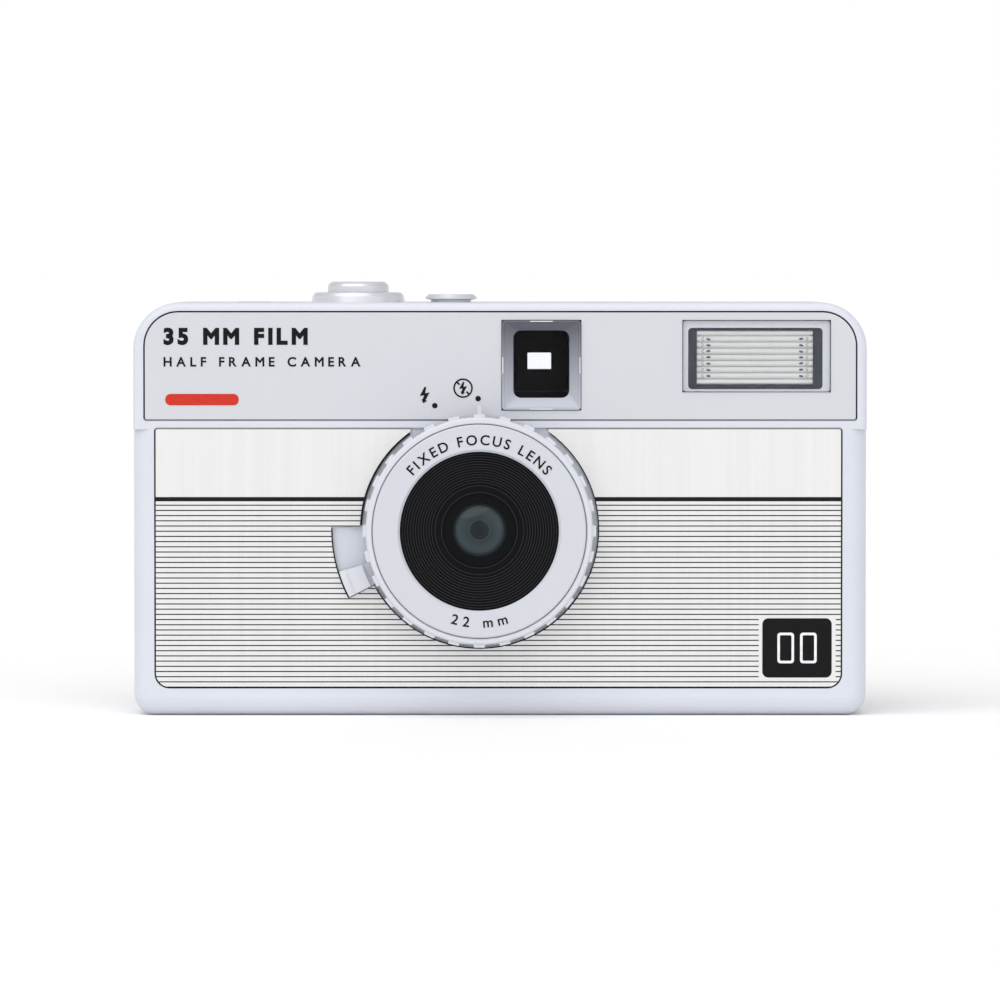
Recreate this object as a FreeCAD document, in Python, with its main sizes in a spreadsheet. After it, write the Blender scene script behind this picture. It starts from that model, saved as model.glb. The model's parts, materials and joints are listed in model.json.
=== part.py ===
import FreeCAD, Part
import math
import os
from types import SimpleNamespace

import Sketcher
from FreeCAD import Placement, Rotation, Vector

# Half frame camera: a plastic casing for 35 mm film with a built-in flash.
# X runs to the right as seen from the front, the front faces -Y, Z is up.
# The origin is under the middle of the camera, on the face it stands on.
# Depths along Y are negative towards the front.

doc = FreeCAD.newDocument("HalfFrameCamera")
sheet = doc.addObject("Spreadsheet::Sheet", "Dims")

cells = [
    # casing
    ("body_wide", 110, "casing, side to side"),
    ("body_tall", 62, "casing, base to top"),
    ("front_y", -11.5, "front face of the casing"),
    ("rear_y", 18.5, "rear face of the casing"),
    ("wall", 2, "wall of the casing"),
    ("corner_top", 7, "upper corners seen from the front"),
    ("corner_low", 3.2, "lower corners seen from the front"),
    ("split_z", 43, "height where the soft lower roll ends"),
    ("roll", 2.8, "round along the lower front edges"),
    ("rim_round", 1, "round along the upper front edges"),
    ("rear_round", 1.2, "round along the rear edges"),
    ("inlay_deep", 0.5, "recess for the two front plates"),
    ("cover_front", -9.4, "front edge of the base and top covers"),
    ("base_half", 51.4, "base cover, half its width"),
    ("top_half", 46.5, "top cover, half its width"),
    ("seam", 0.05, "gap round the base and top covers"),
    # front plates
    ("plate_left", -51.6, "lower plate, left edge"),
    ("plate_right", 51.1, "lower plate, right edge"),
    ("plate_low", 4.35, "lower plate, bottom edge"),
    ("plate_round", 2, "lower plate, bottom corners"),
    ("plate_thick", 0.6, "lower plate"),
    ("panel_left", -53.2, "upper panel, left edge"),
    ("panel_right", 53.3, "upper panel, right edge"),
    ("panel_low", 44.5, "upper panel, bottom edge"),
    ("panel_high", 60.5, "upper panel, top edge"),
    ("panel_round", 5, "upper panel, top corners"),
    ("panel_gap", 0.25, "line of shadow round the panels"),
    # lens
    ("lens_x", -3.07, "lens axis"),
    ("lens_z", 28, "lens axis"),
    ("barrel_out", 13.5, "barrel of the lens housing"),
    ("well_out", 17.95, "round opening in the lower plate"),
    ("ring_out", 16.9, "flash switch ring"),
    ("ring_in", 16, "inside of the ring's wall"),
    ("ring_front", 19.2, "front of the ring, ahead of Y zero"),
    ("ring_back", 13.05, "back of the ring, ahead of Y zero"),
    ("tooth_tall", 0.45, "teeth of the ring"),
    ("tooth_count", 28, "teeth of the ring"),
    ("tooth_angle", 6.2, "width of a tooth in degrees"),
    ("bezel_out", 15.9, "name ring, outside"),
    ("bezel_in", 11.85, "name ring, inside"),
    ("bezel_front", 19.5, "front of the name ring"),
    ("cell_out", 12.45, "round plates behind the lens"),
    ("glass_out", 4.5, "front lens"),
    ("stop_open", 1.47, "aperture"),
    ("shutter_open", 2.6, "hole in the shutter plate"),
    # star filter lever
    ("tab_in", 18.3, "inner side of the lever's tab"),
    ("tab_out", 21.9, "outer side of the lever's tab"),
    ("tab_angle", 10.6, "width of the tab in degrees"),
    ("slot_out", 22.25, "outer side of the tab's recess"),
    ("filter_arm", 9.5, "filter pivot to filter centre"),
    ("filter_park", 50, "swing of the filter in degrees"),
    # viewfinder
    ("finder_left", 0.3, "frame"),
    ("finder_right", 12.1, "frame"),
    ("finder_low", 45.9, "frame"),
    ("finder_high", 59.3, "frame"),
    ("finder_rim", 1.7, "width of the bevelled frame"),
    # flash
    ("flash_left", 27.4, "clear window"),
    ("flash_right", 49.5, "clear window"),
    ("flash_low", 48.6, "clear window"),
    ("flash_high", 59.3, "clear window"),
    ("pane_left", 29.5, "ribbed pane"),
    ("pane_right", 46.9, "ribbed pane"),
    ("pane_low", 49.6, "ribbed pane"),
    ("pane_high", 57.9, "ribbed pane"),
    # top
    ("button_x", -21.4, "shutter button"),
    ("button_y", -3, "shutter button and cable socket"),
    ("button_out", 4.6, "shutter button"),
    ("button_top", 65.1, "top of the button"),
    ("collar_out", 7.05, "collar at its foot"),
    ("collar_tall", 1.5, "collar above the casing"),
    ("stem_out", 2.2, "button stem"),
    ("socket_x", -7.4, "cable release socket"),
    ("socket_out", 3.9, "flare of the socket"),
    ("socket_bore", 1.4, "tapered thread of the socket, mean radius"),
    ("window_out", 2.6, "holes for the socket and the counter window"),
    ("socket_tall", 1.2, "socket above the casing"),
    # film transport
    ("film_y", 11.4, "film plane"),
    ("frame_wide", 18, "exposed frame"),
    ("frame_tall", 24, "exposed frame"),
    ("cartridge_x", 37.5, "cartridge chamber"),
    ("cartridge_y", 4.6, "cartridge chamber"),
    ("cartridge_room", 13, "cartridge chamber, radius"),
    ("take_up_x", -38.8, "take-up spool and advance wheel"),
    ("take_up_y", 5.8, "take-up spool and advance wheel"),
    ("take_up_room", 10.5, "take-up chamber, radius"),
    ("spool_out", 5, "take-up spool"),
    ("wheel_out", 13.7, "advance wheel"),
    ("wheel_low", 52.2, "underside of the advance wheel"),
    ("wheel_thick", 3.6, "advance wheel"),
    ("wheel_notches", 48, "grip notches round the wheel"),
    ("sprocket_x", -19.3, "sprocket"),
    ("sprocket_y", 5.45, "sprocket"),
    ("sprocket_out", 5.75, "sprocket drum"),
    ("sprocket_teeth", 8, "teeth in each row"),
    ("perforation_row", 14.1, "row of teeth from the film's centre"),
    ("chamber_floor", 5.2, "floor of both chambers"),
    ("chamber_roof", 50, "roof of both chambers"),
    ("chassis_wall", 1, "wall of the chassis"),
    ("chassis_rear", 15.9, "rear of the chassis"),
    ("counter_x", -32.5, "counter disc"),
    ("counter_y", 7.5, "counter disc"),
    ("counter_out", 8, "counter disc"),
    ("counter_low", 57.2, "underside of the counter disc"),
    # door
    ("door_low", 2.3, "door"),
    ("door_high", 50.7, "door"),
    ("door_right", 52.7, "free edge of the door"),
    ("door_thick", 1.8, "door"),
    ("hinge_x", -53.4, "hinge axis"),
    ("hinge_y", 16.9, "hinge axis"),
    ("knuckle_out", 1.6, "hinge knuckles"),
    ("hinge_pin", 0.6, "hinge pin"),
    # base
    ("battery_x", 19.2, "battery"),
    ("battery_y", -3.6, "battery"),
    ("battery_out", 5.25, "battery"),
    ("battery_low", 2.4, "lower end of the battery"),
    ("battery_long", 44, "battery without its nub"),
    ("hatch_wide", 12, "opening for the battery"),
    ("hatch_front", -8.9, "opening for the battery"),
    ("hatch_rear", 3.1, "opening for the battery"),
    ("hatch_axis_y", -7.9, "hinge axis of the battery door"),
    ("hatch_axis_z", 0.95, "hinge axis of the battery door"),
    ("trunnion", 0.5, "hinge stubs of the battery door"),
    ("crank_out", 8.7, "rewind crank disc"),
    ("crank_pivot", 6, "fold axis from the crank's centre"),
    ("tripod_y", 2, "tripod bush"),
    ("tripod_bore", 2.55, "1/4-20 thread, minor radius"),
    ("tripod_deep", 5.5, "1/4-20 thread"),
    ("bush_out", 4.5, "nose of the tripod bush"),
    ("coupler_out", 2.5, "rewind shaft"),
    ("release_out", 2.2, "rewind release button"),
    ("play", 0.05, "running play of a shaft, on the radius"),
]


class Size:
    """A number together with the spreadsheet expression that gives it."""

    def __init__(self, number, text):
        self.number = number
        self.text = text

    def _join(self, other, sign, result):
        return Size(result, f"({self.text} {sign} {size(other).text})")

    def __add__(self, other):
        return self._join(other, "+", self.number + size(other).number)

    def __sub__(self, other):
        return self._join(other, "-", self.number - size(other).number)

    def __mul__(self, other):
        return self._join(other, "*", self.number * size(other).number)

    def __truediv__(self, other):
        return self._join(other, "/", self.number / size(other).number)

    def __radd__(self, other):
        return size(other) + self

    def __rsub__(self, other):
        return size(other) - self

    def __rmul__(self, other):
        return size(other) * self

    def __neg__(self):
        return size(0) - self


def size(amount):
    if isinstance(amount, Size):
        return amount
    return Size(float(amount), f"{amount:.6f}")


d = SimpleNamespace()
for row, (alias, amount, note) in enumerate(cells, 1):
    sheet.set(f"A{row}", note)
    sheet.set(f"B{row}", str(amount))
    sheet.setAlias(f"B{row}", alias)
    setattr(d, alias, Size(float(amount), f"Dims.{alias}"))
doc.recompute()

# Directions: local Z of a turned piece laid along one of these.
UP = Rotation()
FORWARD = Rotation(Vector(1, 0, 0), 90)
BACK = Rotation(Vector(1, 0, 0), -90)
RIGHT = Rotation(Vector(0, 1, 0), 90)

nodes = []


# ---- helpers -----------------------------------------------------------------

def bind(item, prop, amount):
    item.setExpression(prop, size(amount).text)


def place(item, corner, turn=UP):
    item.Placement = Placement(Vector(), turn)
    for letter, amount in zip("xyz", corner):
        bind(item, f"Placement.Base.{letter}", amount)
    return item


def box(corner, far):
    """A box from one corner to the opposite one."""
    item = doc.addObject("Part::Box", "Block")
    for prop, low, high in zip(("Length", "Width", "Height"), corner, far):
        bind(item, prop, size(high) - low)
    return place(item, corner)


def rod(radius, length, start, turn=UP, angle=360):
    item = doc.addObject("Part::Cylinder", "Rod")
    bind(item, "Radius", radius)
    bind(item, "Height", length)
    bind(item, "Angle", angle)
    return place(item, start, turn)


def sector(radius, length, start, first, sweep):
    """A slice of a disc that faces the front; angles run anticlockwise from +X."""
    return rod(radius, length, start, FORWARD * Rotation(Vector(0, 0, 1), first), sweep)


def frustum(near, far, near_y, far_y):
    """A tapered block along Y between two rectangles (left, low, right, high)."""
    item = doc.addObject("Part::Wedge", "Taper")
    bind(item, "Ymin", near_y)
    bind(item, "Ymax", far_y)
    for prop, amount in zip(("Xmin", "Zmin", "Xmax", "Zmax"), near):
        bind(item, prop, amount)
    for prop, amount in zip(("X2min", "Z2min", "X2max", "Z2max"), far):
        bind(item, prop, amount)
    return item


def fuse(*pieces):
    item = doc.addObject("Part::MultiFuse", "Joined")
    item.Shapes = list(pieces)
    item.Refine = True
    return item


def cut(base, *tools):
    item = doc.addObject("Part::Cut", "Cut")
    item.Base = base
    item.Tool = fuse(*tools) if len(tools) > 1 else tools[0]
    item.Refine = True
    return item


def common(first, second):
    item = doc.addObject("Part::Common", "Common")
    item.Base = first
    item.Tool = second
    return item


def node(name, item):
    item.Label = name
    nodes.append(item)
    return item


def sketch_on(body, role, offset=0):
    """A sketch on one of the body's own origin planes, shifted along its normal."""
    plane = next(f for f in body.Origin.OriginFeatures if f.Role == role)
    sketch = body.newObject("Sketcher::SketchObject", "Sketch")
    sketch.AttachmentSupport = [(plane, "")]
    sketch.MapMode = "FlatFace"
    bind(sketch, "AttachmentOffset.Base.z", offset)
    return sketch


def pin_point(sketch, index, point, across, up):
    for kind, amount in (("DistanceX", across), ("DistanceY", up)):
        amount = size(amount)
        rule = Sketcher.Constraint(kind, -1, 1, index, point, amount.number)
        bind(sketch, f"Constraints[{sketch.addConstraint(rule)}]", amount)


def limit(sketch, kind, index, amount):
    rule = Sketcher.Constraint(kind, index, size(amount).number)
    bind(sketch, f"Constraints[{sketch.addConstraint(rule)}]", amount)


def draw_polygon(sketch, points):
    first = sketch.GeometryCount
    spots = [Vector(size(a).number, size(b).number, 0) for a, b in points]
    count = len(spots)
    for k in range(count):
        sketch.addGeometry(Part.LineSegment(spots[k], spots[(k + 1) % count]), False)
    for k in range(count):
        rule = Sketcher.Constraint("Coincident", first + k, 2, first + (k + 1) % count, 1)
        sketch.addConstraint(rule)
    for k, (across, up) in enumerate(points):
        pin_point(sketch, first + k, 1, across, up)


def draw_circle(sketch, across, up, radius):
    centre = Vector(size(across).number, size(up).number, 0)
    index = sketch.addGeometry(Part.Circle(centre, Vector(0, 0, 1), size(radius).number), False)
    pin_point(sketch, index, 3, across, up)
    limit(sketch, "Radius", index, radius)


def draw_rectangle(sketch, left, low, right, high, low_round=None, high_round=None):
    """A rectangle whose lower and upper corners may be rounded."""
    left, low, right, high = (size(amount) for amount in (left, low, right, high))
    rounds = (low_round, low_round, high_round, high_round)
    corners = ((left, low), (right, low), (right, high), (left, high))
    starts, ends, centres = [], [], []
    steps = ((1, 0), (0, 1), (-1, 0), (0, -1))
    for k, (across, up) in enumerate(corners):
        reach = size(rounds[k]).number if rounds[k] is not None else 0
        spot = Vector(across.number, up.number, 0)
        before = Vector(*steps[k - 1], 0) * reach
        after = Vector(*steps[k], 0) * reach
        ends.append(spot - before)
        starts.append(spot + after)
        centres.append(spot - before + after)
    sides = []
    for k in range(4):
        sides.append(sketch.addGeometry(Part.LineSegment(starts[k], ends[(k + 1) % 4]), False))
    for k in range(4):
        kind = "Horizontal" if k % 2 == 0 else "Vertical"
        sketch.addConstraint(Sketcher.Constraint(kind, sides[k]))
        if rounds[k] is None:
            sketch.addConstraint(Sketcher.Constraint("Coincident", sides[k - 1], 2, sides[k], 1))
            continue
        circle = Part.Circle(centres[k], Vector(0, 0, 1), size(rounds[k]).number)
        begin = math.pi + k * math.pi / 2
        arc = sketch.addGeometry(Part.ArcOfCircle(circle, begin, begin + math.pi / 2), False)
        sketch.addConstraint(Sketcher.Constraint("Tangent", sides[k - 1], 2, arc, 1))
        sketch.addConstraint(Sketcher.Constraint("Tangent", arc, 2, sides[k], 1))
        limit(sketch, "Radius", arc, rounds[k])
    for side, kind, amount in ((0, "DistanceY", low), (1, "DistanceX", right),
                               (2, "DistanceY", high), (3, "DistanceX", left)):
        rule = Sketcher.Constraint(kind, -1, 1, sides[side], 1, amount.number)
        bind(sketch, f"Constraints[{sketch.addConstraint(rule)}]", amount)


def pad(body, sketch, length):
    item = body.newObject("PartDesign::Pad", "Pad")
    item.Profile = sketch
    bind(item, "Length", length)
    sketch.Visibility = False
    return item


def pocket(body, sketch, depth):
    item = body.newObject("PartDesign::Pocket", "Pocket")
    item.Profile = sketch
    bind(item, "Length", depth)
    return item


def slab(rear, thick, *outline, **rounds):
    """A plate that faces the front, from its rear face forward."""
    body = doc.addObject("PartDesign::Body", "Body")
    sketch = sketch_on(body, "XZ_Plane", -size(rear))
    draw_rectangle(sketch, *outline, **rounds)
    pad(body, sketch, thick)
    return body


def round_edges(body, radius, wanted):
    """Fillet the edges of the body's last feature that the test picks."""
    doc.recompute()
    base = body.Tip
    picked = []
    for number, edge in enumerate(base.Shape.Edges, 1):
        if wanted(edge.BoundBox):
            picked.append(f"Edge{number}")
    item = body.newObject("PartDesign::Fillet", "Fillet")
    item.Base = (base, picked)
    bind(item, "Radius", radius)
    doc.recompute()
    return item


def turned(profile, start, turn=UP):
    """A lathe piece: (radius, height) corners turned about its local Z."""
    body = doc.addObject("PartDesign::Body", "Body")
    sketch = sketch_on(body, "XZ_Plane")
    draw_polygon(sketch, profile)
    item = body.newObject("PartDesign::Revolution", "Revolution")
    item.Profile = sketch
    item.ReferenceAxis = (sketch, ["V_Axis"])
    item.Angle = 360
    place(body, start, turn)
    return body


def polar(body, features, count):
    """Repeat features round the body's local Z."""
    axis = next(f for f in body.Origin.OriginFeatures if f.Role == "Z_Axis")
    item = body.newObject("PartDesign::PolarPattern", "PolarPattern")
    item.Originals = features
    item.Axis = (axis, [""])
    item.Angle = 360
    bind(item, "Occurrences", count)
    body.Tip = item
    return item


def tube(outer, inner, length, start, turn=UP):
    profile = [(inner, 0), (outer, 0), (outer, length), (inner, length)]
    return turned(profile, start, turn)


def on_axis(ahead):
    """A point on the lens axis, so far ahead of Y zero."""
    return d.lens_x, -size(ahead), d.lens_z


def beside(across, up, ahead):
    """A point given from the lens axis."""
    return d.lens_x + across, -size(ahead), d.lens_z + up


# ---- casing ------------------------------------------------------------------

half = d.body_wide / 2
inner_front = d.front_y + d.wall
inner_top = d.body_tall - d.wall
inlay_y = d.front_y + d.inlay_deep
deep = d.rear_y - d.front_y

screw_spots = ((-48.5, 13), (-29.5, 13), (25.5, 13), (49, 13))
screw_head = 1.6
screw_shank = 0.7
cover_spots = (-49.5, 49.5)
cover_screw_z = 58
shell_knuckles = ((5, 12), (23, 30), (41, 48))
door_knuckles = ((12.2, 22.8), (30.2, 40.8))
eyepiece_outline = (2.4, 51.6, 10, 57)
fit = 0.05


def casing_block(low, high, rounding, **corners):
    """One level of the casing, rounded along its front and rear edges."""
    block = slab(d.rear_y, deep, -half, low, half, high, **corners)
    level = d.split_z.number

    def outside(edge, depth):
        flat = abs(edge.YMin - depth) < 0.01 and abs(edge.YMax - depth) < 0.01
        return flat and not (abs(edge.ZMin - level) < 0.01 and abs(edge.ZMax - level) < 0.01)

    round_edges(block, rounding, lambda edge: outside(edge, d.front_y.number))
    round_edges(block, d.rear_round, lambda edge: outside(edge, d.rear_y.number))
    return block


def front_opening(margin, left, low, right, high):
    """A cutter through the front wall, a little larger than what fits in it."""
    return slab(inner_front + 0.1, d.wall + 0.2, size(left) - margin, size(low) - margin,
                size(right) + margin, size(high) + margin)


def make_front_shell(lower, upper):
    """Front wall and both side walls, with the hinge knuckles on the left."""
    cavity = slab(d.rear_y + 1, deep - d.wall + 1, d.wall - half, d.wall, half - d.wall,
                  inner_top, low_round=1.2, high_round=d.corner_top - d.wall)
    gap = d.panel_gap
    thick = d.inlay_deep + 0.2
    panel_seat = slab(inlay_y, thick, d.panel_left - gap, d.panel_low - gap,
                      d.panel_right + gap, d.panel_high + gap,
                      low_round=0.5, high_round=d.panel_round + gap)
    plate_seat = slab(inlay_y, thick, d.plate_left - gap, d.plate_low - gap,
                      d.plate_right + gap, d.split_z + gap,
                      low_round=d.plate_round + gap, high_round=0.5)
    finder = front_opening(fit, d.finder_left, d.finder_low, d.finder_right, d.finder_high)
    flash = front_opening(fit, d.flash_left, d.flash_low, d.flash_right, d.flash_high)
    lens = rod(d.barrel_out + fit, d.wall + 0.2, on_axis(-inner_front - 0.1), FORWARD)
    covers = [box((-reach - d.seam, d.cover_front - d.seam, low), (reach + d.seam, d.rear_y + 0.1, high))
              for reach, low, high in ((d.base_half, -0.1, d.wall + 0.1),
                                       (d.top_half, inner_top - 0.1, d.body_tall + 0.1))]
    # latch slot in the right wall, hinge gap and knuckles in the left wall
    latch_slot = box((half - d.wall - 0.1, 10.4, 26.9), (half + 0.1, 14.6, 36.1))
    hinge_gap = box((-half - 0.1, d.hinge_y - d.knuckle_out - 0.2, d.door_low - 0.15),
                    (d.wall - half + 0.1, d.rear_y + 0.1, d.door_high + 0.15))
    posts = [rod(1.8, 26.3, (x, inner_front - 0.1, cover_screw_z), BACK) for x in cover_spots]
    post_holes = [rod(screw_shank, 6, (x, 11, cover_screw_z), BACK) for x in cover_spots]
    hollow = cut(fuse(lower, upper), cavity, hinge_gap, *covers)
    knuckles = []
    for low, high in shell_knuckles:
        knuckles.append(rod(d.knuckle_out, high - low, (d.hinge_x, d.hinge_y, low)))
        knuckles.append(box((-half, d.hinge_y - d.knuckle_out - 0.6, low), (d.hinge_x, d.hinge_y, high)))
    pin_hole = rod(d.hinge_pin, d.door_high, (d.hinge_x, d.hinge_y, d.door_low))
    node("front_shell", cut(fuse(hollow, *posts, *knuckles), panel_seat, plate_seat, finder, flash,
                            lens, latch_slot, pin_hole, *post_holes))


def make_base_cover(lower):
    """Flat base with the crank's cup, the battery hatch and the tripod bush's hole."""
    plate = common(lower, box((-d.base_half, d.cover_front, -0.1), (d.base_half, d.rear_y + 0.1, d.wall)))
    crank_spot = (d.cartridge_x, d.cartridge_y, -0.1)
    crank_cup = rod(10.2, 1.9, (d.cartridge_x, d.cartridge_y, d.wall - 0.1))
    hatch = box((d.battery_x - d.hatch_wide / 2, d.hatch_front, -0.1),
                (d.battery_x + d.hatch_wide / 2, d.hatch_rear, d.wall + 0.1))
    stub_room = 1.2
    trunnion_holes = rod(d.trunnion + d.play, d.hatch_wide + 2 * stub_room,
                         (d.battery_x - d.hatch_wide / 2 - stub_room, d.hatch_axis_y, d.hatch_axis_z),
                         RIGHT)
    holes = [rod(d.crank_out + 0.3, 2.7, crank_spot), rod(d.coupler_out + d.play, 5, crank_spot), hatch,
             trunnion_holes, rod(d.bush_out, 3, (d.lens_x, d.tripod_y, -0.5)),
             rod(d.release_out + d.play, 3, (d.sprocket_x, d.sprocket_y, -0.5))]
    for x, y in screw_spots:
        holes.append(rod(screw_head + 0.1, 1.1, (x, y, -0.1)))
        holes.append(rod(screw_shank, 3, (x, y, -0.1)))
    node("base_cover", cut(fuse(plate, crank_cup), *holes))


def make_top_cover(upper):
    """Flat top with the button's pocket, the cable socket's hole and the counter's window."""
    plate = common(upper, box((-d.top_half, d.cover_front, inner_top),
                              (d.top_half, d.rear_y + 0.1, d.body_tall + 0.1)))
    counter_post = rod(0.9, 3.5, (d.counter_x, d.counter_y, inner_top - 3.4))
    below = inner_top - 0.5
    node("top_cover", cut(fuse(plate, counter_post),
                          rod(d.button_out + 0.15, 1.3, (d.button_x, d.button_y, d.body_tall - 1.1)),
                          rod(d.stem_out + 0.08, 3, (d.button_x, d.button_y, below)),
                          rod(d.window_out, 3, (d.socket_x, d.button_y, below)),
                          rod(d.window_out, 3, (d.counter_x - 5, d.counter_y, below))))


def make_casing():
    lower = casing_block(0, d.split_z, d.roll, low_round=d.corner_low)
    upper = casing_block(d.split_z, d.body_tall, d.rim_round, high_round=d.corner_top)
    make_front_shell(lower, upper)
    make_base_cover(lower)
    make_top_cover(upper)


def make_front_plates():
    plate = slab(inlay_y, d.plate_thick, d.plate_left, d.plate_low, d.plate_right, d.split_z,
                 low_round=d.plate_round, high_round=0.3)
    through = d.plate_thick + 0.4
    well = rod(d.well_out, through, on_axis(-inlay_y - 0.2), FORWARD)
    slot = cut(sector(d.slot_out, through, on_axis(-inlay_y - 0.2), 178.8, 29.2),
               rod(d.well_out - 1, through, on_axis(-inlay_y - 0.2), FORWARD))
    # blunt the two sharp tips where the opening breaks through the plate's top edge
    tip = 10.35
    blunt = box((d.lens_x - tip, d.front_y - 1, d.split_z - 0.5),
                (d.lens_x + tip, inlay_y + 0.1, d.split_z + 0.1))
    node("lower_front_plate", cut(plate, well, slot, blunt))

    panel = slab(inlay_y, d.inlay_deep, d.panel_left, d.panel_low, d.panel_right, d.panel_high,
                 low_round=0.3, high_round=d.panel_round)
    finder = slab(inlay_y + 0.2, 1, d.finder_left - 0.1, d.finder_low - 0.1,
                  d.finder_right + 0.1, d.finder_high + 0.1)
    flash = slab(inlay_y + 0.2, 1, d.flash_left - 0.1, d.flash_low - 0.1,
                 d.flash_right + 0.1, d.flash_high + 0.1)
    node("upper_front_panel", cut(panel, finder, flash))


def make_upper_back_cover():
    cover = slab(d.rear_y, d.door_thick, 0.1 + d.wall - half, d.door_high + 0.2,
                 half - d.wall - 0.1, inner_top - 0.1, high_round=d.corner_top - d.wall - 0.1)
    eyepiece = slab(d.rear_y + 0.1, 3, *eyepiece_outline, low_round=0.8, high_round=0.8)
    wheel_slot = box((d.take_up_x - 8.9, 15, d.wheel_low - 0.4),
                     (d.take_up_x + 8.9, 20, d.wheel_low + d.wheel_thick + 0.4))
    holes = []
    for x in cover_spots:
        holes.append(rod(screw_shank, 4, (x, 15.5, cover_screw_z), BACK))
        holes.append(rod(screw_head - 0.2, 2, (x, d.rear_y - 0.7, cover_screw_z), BACK))
    node("upper_back_cover", cut(cover, eyepiece, wheel_slot, *holes))


def make_screws():
    """Cross-head screws: four in the base, two in the upper back cover."""
    screws = []
    for x, y in screw_spots:
        shape = fuse(rod(screw_head, 0.8, (x, y, 0.15)), rod(screw_shank, 4, (x, y, 0.9)))
        cross = fuse(box((x - 0.9, y - 0.15, 0), (x + 0.9, y + 0.15, 0.55)),
                     box((x - 0.15, y - 0.9, 0), (x + 0.15, y + 0.9, 0.55)))
        screws.append(cut(shape, cross))
    z = cover_screw_z
    for x in cover_spots:
        head = rod(screw_head - 0.3, 0.6, (x, d.rear_y - 0.7, z), BACK)
        shank = rod(screw_shank, 5.2, (x, 12.7, z), BACK)
        cross = fuse(box((x - 0.8, d.rear_y - 0.4, z - 0.15), (x + 0.8, d.rear_y, z + 0.15)),
                     box((x - 0.15, d.rear_y - 0.4, z - 0.8), (x + 0.15, d.rear_y, z + 0.8)))
        screws.append(cut(fuse(head, shank), cross))
    node("casing_screws", fuse(*screws))


# ---- film chassis ------------------------------------------------------------

def chamber(x, y, room, wall_thick):
    """A U-shaped wall round a film chamber and the room inside it."""
    outer = room + wall_thick
    low = d.chamber_floor - 1.2
    high = d.chamber_roof + 0.8
    half_turn = Rotation(Vector(0, 0, 1), 180)
    wall_solid = fuse(rod(outer, high - low, (x, y, low), half_turn, 180),
                      box((x - outer, y, low), (x + outer, d.chassis_rear, high)))
    tall = d.chamber_roof - d.chamber_floor
    inside = fuse(rod(room, tall, (x, y, d.chamber_floor)),
                  box((x - room, y, d.chamber_floor), (x + room, d.chassis_rear + 1, d.chamber_roof)))
    return wall_solid, inside


def make_film_chassis():
    cartridge, cartridge_inside = chamber(d.cartridge_x, d.cartridge_y, d.cartridge_room,
                                          d.chassis_wall)
    take_up, take_up_inside = chamber(d.take_up_x, d.take_up_y, d.take_up_room, d.chassis_wall)
    well = rod(7, 7, (d.cartridge_x, d.cartridge_y, d.chamber_roof))
    well_inside = rod(6.2, 7, (d.cartridge_x, d.cartridge_y, d.chamber_roof - 0.8))
    gate_half = d.frame_wide / 2
    gate_tall = d.frame_tall / 2
    gate_front = d.film_y - 1.5
    gate = box((d.lens_x - gate_half - 1, gate_front, 5), (24, d.film_y, 49.4))
    rails = [box((d.lens_x - gate_half - 1, d.film_y - 0.1, z), (20, d.film_y + 0.2, z + 0.8))
             for z in (9.3, 45.9)]
    lens_half = 5
    box_front = -7.5

    def tapered(skin, front, rear):
        near = (d.lens_x - lens_half - skin, d.lens_z - lens_half - skin,
                d.lens_x + lens_half + skin, d.lens_z + lens_half + skin)
        far = (d.lens_x - gate_half - skin, d.lens_z - gate_tall - skin,
               d.lens_x + gate_half + skin, d.lens_z + gate_tall + skin)
        return frustum(near, far, front, rear)

    light_box = tapered(d.chassis_wall, box_front, gate_front)
    light_room = tapered(0, box_front - 0.01, gate_front + 0.01)
    window = box((d.lens_x - gate_half, gate_front - 0.02, d.lens_z - gate_tall),
                 (d.lens_x + gate_half, d.film_y + 0.5, d.lens_z + gate_tall))
    bay_plates = [box((-27.5, -0.6, z), (-12, d.chassis_rear, z + 1.2)) for z in (6.4, 48.8)]
    ledges = [box((-51.4, 14.9, 3), (51.5, d.chassis_rear, d.chamber_floor)),
              box((-51.4, 13.4, 48.9), (51.5, d.chassis_rear, 50.1))]
    feet = [rod(2, 2.5, (x, y, d.wall)) for x, y in screw_spots]
    link = box((10, gate_front, 5), (24, d.chassis_rear - 2.4, 6.2))
    solid = fuse(cartridge, take_up, well, gate, *rails, light_box, *bay_plates, *ledges, *feet, link)
    shaft = d.play + 1.5
    holes = [
        rod(d.coupler_out + d.play, 4, (d.cartridge_x, d.cartridge_y, 2)),
        rod(shaft, 3, (d.take_up_x, d.take_up_y, 3)),
        rod(2.9 + d.play, 3, (d.take_up_x, d.take_up_y, d.chamber_roof - 1)),
        rod(shaft, 46, (d.sprocket_x, d.sprocket_y, 5)),
    ]
    holes += [rod(screw_shank, 3, (x, y, 1.9)) for x, y in screw_spots]
    chassis = cut(solid, cartridge_inside, take_up_inside, well_inside, light_room, window, *holes)
    node("film_chassis", chassis)

    strips = [box((-50, d.chassis_rear, 3.1), (51, d.chassis_rear + 0.7, 5)),
              box((-50, d.chassis_rear, 49), (51, d.chassis_rear + 0.7, 50))]
    node("light_seals", fuse(*strips))


# ---- lens, shutter and their controls ------------------------------------------

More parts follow.
